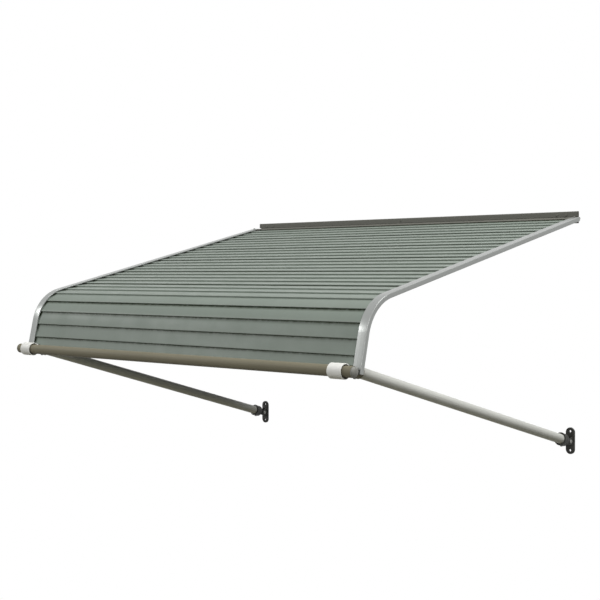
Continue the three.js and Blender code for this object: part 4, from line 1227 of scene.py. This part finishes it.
def add_arm(name):
    """Arm: collar, ferrule, tube and socket, and from below a screw through the ferrule and one through the
    socket."""
    matrix, pivot, _ = arm_frame(name)
    floor = pivot - SOCKET_GAP - SOCKET_FLOOR
    add_collar(name, matrix)
    add_ferrule(name, matrix)
    add_strut(name, matrix, floor)
    add_socket(name, matrix, pivot, floor)
    for piece, at, seat, node_name in (
        ("sleeve", ARM_TUBE_START + SPIGOT_LENGTH / 2, FERRULE_RADIUS, "ferrule_screw"),
        ("socket", floor - SOCKET_DEPTH / 2, SOCKET_RADIUS, "socket_screw"),
    ):
        below = matrix @ frame_along((0, at, ARM_RISE - seat - GAP), Z_AXIS, Y_AXIS)
        screw = plain_screw(f"{name}_{piece}_fixing", below, seat + GAP - TUBE_BORE + SCREW_PAST_BORE)
        fit(screw, f"{name}_arm", "zinc_steel", f"{name}_{node_name}")


# Wall brackets


def add_plate(name, matrix, pin):
    """Bracket: a round-ended plate whose outline, radius (cos a, sin a) parted by the straight length,
    shrinks over its eased front edge, two bevelled ears joined to it, two eased screw holes and the rivet's
    hole."""
    edge = quarter(PLATE_EASE, PLATE_EASE, EDGE_POINTS)
    depth = np.concatenate([[0.0, -PLATE_BACK_EASE], PLATE_EASE - PLATE_THICKNESS - edge[:, 1]])
    inset = np.concatenate([[PLATE_BACK_EASE, 0.0], PLATE_EASE - edge[:, 0]])
    angle = np.linspace(0.0, 2 * math.pi, TUBE_SIDES, endpoint=False)[None, :]
    radius = PLATE_WIDTH / 2 - inset[:, None]
    straight = PLATE_HEIGHT / 2 - PLATE_WIDTH / 2
    rise = radius * np.sin(angle) + straight * np.where(np.sin(angle) >= 0, 1.0, -1.0)
    grid = stacked(radius * np.cos(angle), depth[:, None], rise)
    plate = shell(f"{name}_foot_plate", placed(grid, matrix), outline_faces(len(depth), angle.size))
    nose = arc(KNUCKLE_RADIUS, math.pi / 2, 1.5 * math.pi, NOSE_POINTS) + (-PIVOT_OUT, 0.0)
    foot, root = -PLATE_THICKNESS - EAR_SHOULDER, -PLATE_THICKNESS / 2
    upper, lower = [(root, EAR_FOOT), (foot, EAR_FOOT)], [(foot, -EAR_FOOT), (root, -EAR_FOOT)]
    outline = np.concatenate([upper, nose, lower])
    ends = (EAR_FROM, EAR_FROM + EAR_WIDTH)
    ears = [prism("ear", outline, way * ends[0], way * ends[1], matrix) for way in SIDES.values()]
    worked(plate, "UNION", *(eased(ear, EAR_EASE) for ear in ears))
    sink = [
        (0.0, SINK_PAST),
        (PLATE_HOLE_RADIUS, SINK_PAST),
        (PLATE_HOLE_RADIUS, HOLE_EASE - PLATE_THICKNESS),
        (PLATE_HOLE_RADIUS + HOLE_EASE, -PLATE_THICKNESS),
        (PLATE_HOLE_RADIUS + HOLE_EASE, -PLATE_THICKNESS - SINK_PAST),
        (0.0, -PLATE_THICKNESS - SINK_PAST),
    ]
    tools = []
    for way in SIDES.values():
        hole = matrix @ frame_along((0, 0, way * PLATE_HOLE_SPACING / 2), Y_AXIS, Z_AXIS)
        tools.append(turned("sink", sink, hole, RIVET_SIDES))
    tools.append(drill(PIN_RADIUS + GAP, EAR_DRILL, pin, PIN_HOLE_SIDES))
    fit(worked(plate, "DIFFERENCE", *tools), f"{name}_bracket", "black_casting", f"{name}_wall_bracket")


def add_rivet(name, pin):
    """Rivet through the ears: a shank and two heads, each domed by a quarter of an ellipse."""
    head = EAR_FROM + EAR_WIDTH + GAP
    crown = quarter(PIN_HEAD_RADIUS, PIN_HEAD - PIN_HEAD_EDGE, CROWN_POINTS) + (0.0, head + PIN_HEAD_EDGE)
    upper = np.concatenate([[(PIN_RADIUS, head), (PIN_HEAD_RADIUS, head)], crown])
    rivet = turned(f"{name}_rivet", np.concatenate([upper[::-1] * (1, -1), upper]), pin, RIVET_SIDES)
    fit(rivet, f"{name}_bracket", "zinc_steel", f"{name}_pivot_pin")


def add_bracket(name):
    """Wall bracket and its rivet, placed on the wall at the bracket's own level."""
    matrix = np.eye(4)
    matrix[:3, 3] = (SIDES[name] * ARM_PLACE, 0.0, -BRACKET_DROP[name])
    pin = matrix @ frame_along((0, -PIVOT_OUT, 0), X_AXIS, Z_AXIS)
    add_plate(name, matrix, pin)
    add_rivet(name, pin)


add_panels()
add_header()
add_rail()
add_bar()
for name in SIDES:
    add_rafter(name)
    add_cap(name)
    add_screws(name)
    add_saddle(name)
    add_arm(name)
    add_bracket(name)


# Stage, in metres: a floor, soft lamps, white surroundings and the camera at the photograph's place.
# A lamp is its name, place, target, width and height, and watts. The camera's lens and sensor are in
# millimetres.

WHITE = (1.0, 1.0, 1.0, 1.0)
FLOOR_LEVEL = -2.4
FLOOR_MIDDLE = -0.4
FLOOR_RINGS = (0.0, 1.5, 3.0, 4.0)
FLOOR_SIDES = 72
FLOOR_COLOUR = (0.27, 0.255, 0.18, 1.0)
FLOOR_ROUGHNESS = 0.9
FLOOR_WHITE = 0.9
SKY_STRENGTH = 0.1
LAMPS = (
    ("overhead", (2.0, -0.1, 3.2), (0.0, -0.45, -0.1), (2.2, 2.2), 138.0),
    ("front_right", (3.3, -4.8, 2.6), (0.0, -0.9, -0.25), (3.0, 2.2), 149.0),
    ("strip", (-2.75, -2.9, 1.3), (0.0, -0.9, -0.25), (1.8, 0.4), 42.0),
)
CAMERA_PLACE = (2.2815, -2.8594, -0.1477)
CAMERA_AHEAD = (-0.68644, 0.72689, -0.02074)
CAMERA_UP = (-0.01425, 0.01506, 0.99978)
CAMERA_LENS = 73.5
CAMERA_SENSOR = 36.0
CAMERA_CLIP = (0.1, 60.0)


def white_rays(tree):
    """1 for rays that show the surroundings: seen by the camera, mirrored or let through."""
    rays = node(tree, "ShaderNodeLightPath").outputs
    direct = calculated(tree, "MAXIMUM", rays["Is Camera Ray"], rays["Is Glossy Ray"])[0]
    return calculated(tree, "MAXIMUM", direct, rays["Is Transmission Ray"])[0]


def mixed(tree, share, lit, seen, output):
    """Sends two shaders to a tree's output, the second by the share."""
    blend = node(tree, "ShaderNodeMixShader", {0: share, 1: lit.outputs[0], 2: seen.outputs[0]})
    tree.links.new(blend.outputs[0], tree.nodes[output].inputs[0])


def add_floor():
    """Round floor: rings (r cos a, r sin a) about a point under the canopy. It takes shadows and throws
    light back like dull ground, and is seen mostly white."""
    ring = np.array(FLOOR_RINGS)[None, :]
    angle = np.linspace(0.0, 2 * math.pi, FLOOR_SIDES, endpoint=False)[:, None]
    across, along = ring * np.cos(angle), ring * np.sin(angle) + FLOOR_MIDDLE
    grid = stacked(across, along, FLOOR_LEVEL)
    floor = shell("floor", grid / MM, grid_faces(FLOOR_SIDES, len(FLOOR_RINGS), True))
    material, tree, ground = new_finish("floor", specular=0.0)
    ground.inputs["Base Color"].default_value = FLOOR_COLOUR
    ground.inputs["Roughness"].default_value = FLOOR_ROUGHNESS
    white = node(tree, "ShaderNodeEmission", {"Color": WHITE, "Strength": 1.0})
    share = calculated(tree, "MULTIPLY", white_rays(tree), FLOOR_WHITE)[0]
    mixed(tree, share, ground, white, "Material Output")
    floor.data.materials.append(material)


def add_surroundings():
    """World that lights the canopy faintly and is seen white."""
    world = bpy.data.worlds.new("surroundings")
    bpy.context.scene.world = world
    world.use_nodes = True
    tree = world.node_tree
    sky = tree.nodes["Background"]
    sky.inputs["Color"].default_value = WHITE
    sky.inputs["Strength"].default_value = SKY_STRENGTH
    white = node(tree, "ShaderNodeBackground", {"Color": WHITE, "Strength": 1.0})
    mixed(tree, white_rays(tree), sky, white, "World Output")


def add_lamp(name, place, target, size, power):
    """Rectangular lamp at a place, turned towards its target."""
    lamp = bpy.data.lights.new(name, "AREA")
    lamp.shape = "RECTANGLE"
    lamp.size, lamp.size_y = size
    lamp.energy = power
    made = bpy.data.objects.new(name, lamp)
    made.location = place
    made.rotation_euler = (Vector(target) - Vector(place)).to_track_quat("-Z", "Y").to_euler()
    bpy.context.scene.collection.objects.link(made)


def add_camera():
    """Camera whose axes are right, up and back: right is ahead cross up."""
    camera = bpy.data.cameras.new("camera")
    camera.lens = CAMERA_LENS
    camera.sensor_width = CAMERA_SENSOR
    camera.clip_start, camera.clip_end = CAMERA_CLIP
    made = bpy.data.objects.new("camera", camera)
    ahead, up = Vector(CAMERA_AHEAD), Vector(CAMERA_UP)
    turn = Matrix((ahead.cross(up), up, -ahead)).transposed().to_4x4()
    made.matrix_world = Matrix.Translation(CAMERA_PLACE) @ turn
    bpy.context.scene.collection.objects.link(made)
    bpy.context.scene.camera = made


add_floor()
add_surroundings()
for lamp in LAMPS:
    add_lamp(*lamp)
add_camera()
bpy.context.scene.view_settings.view_transform = "Standard"
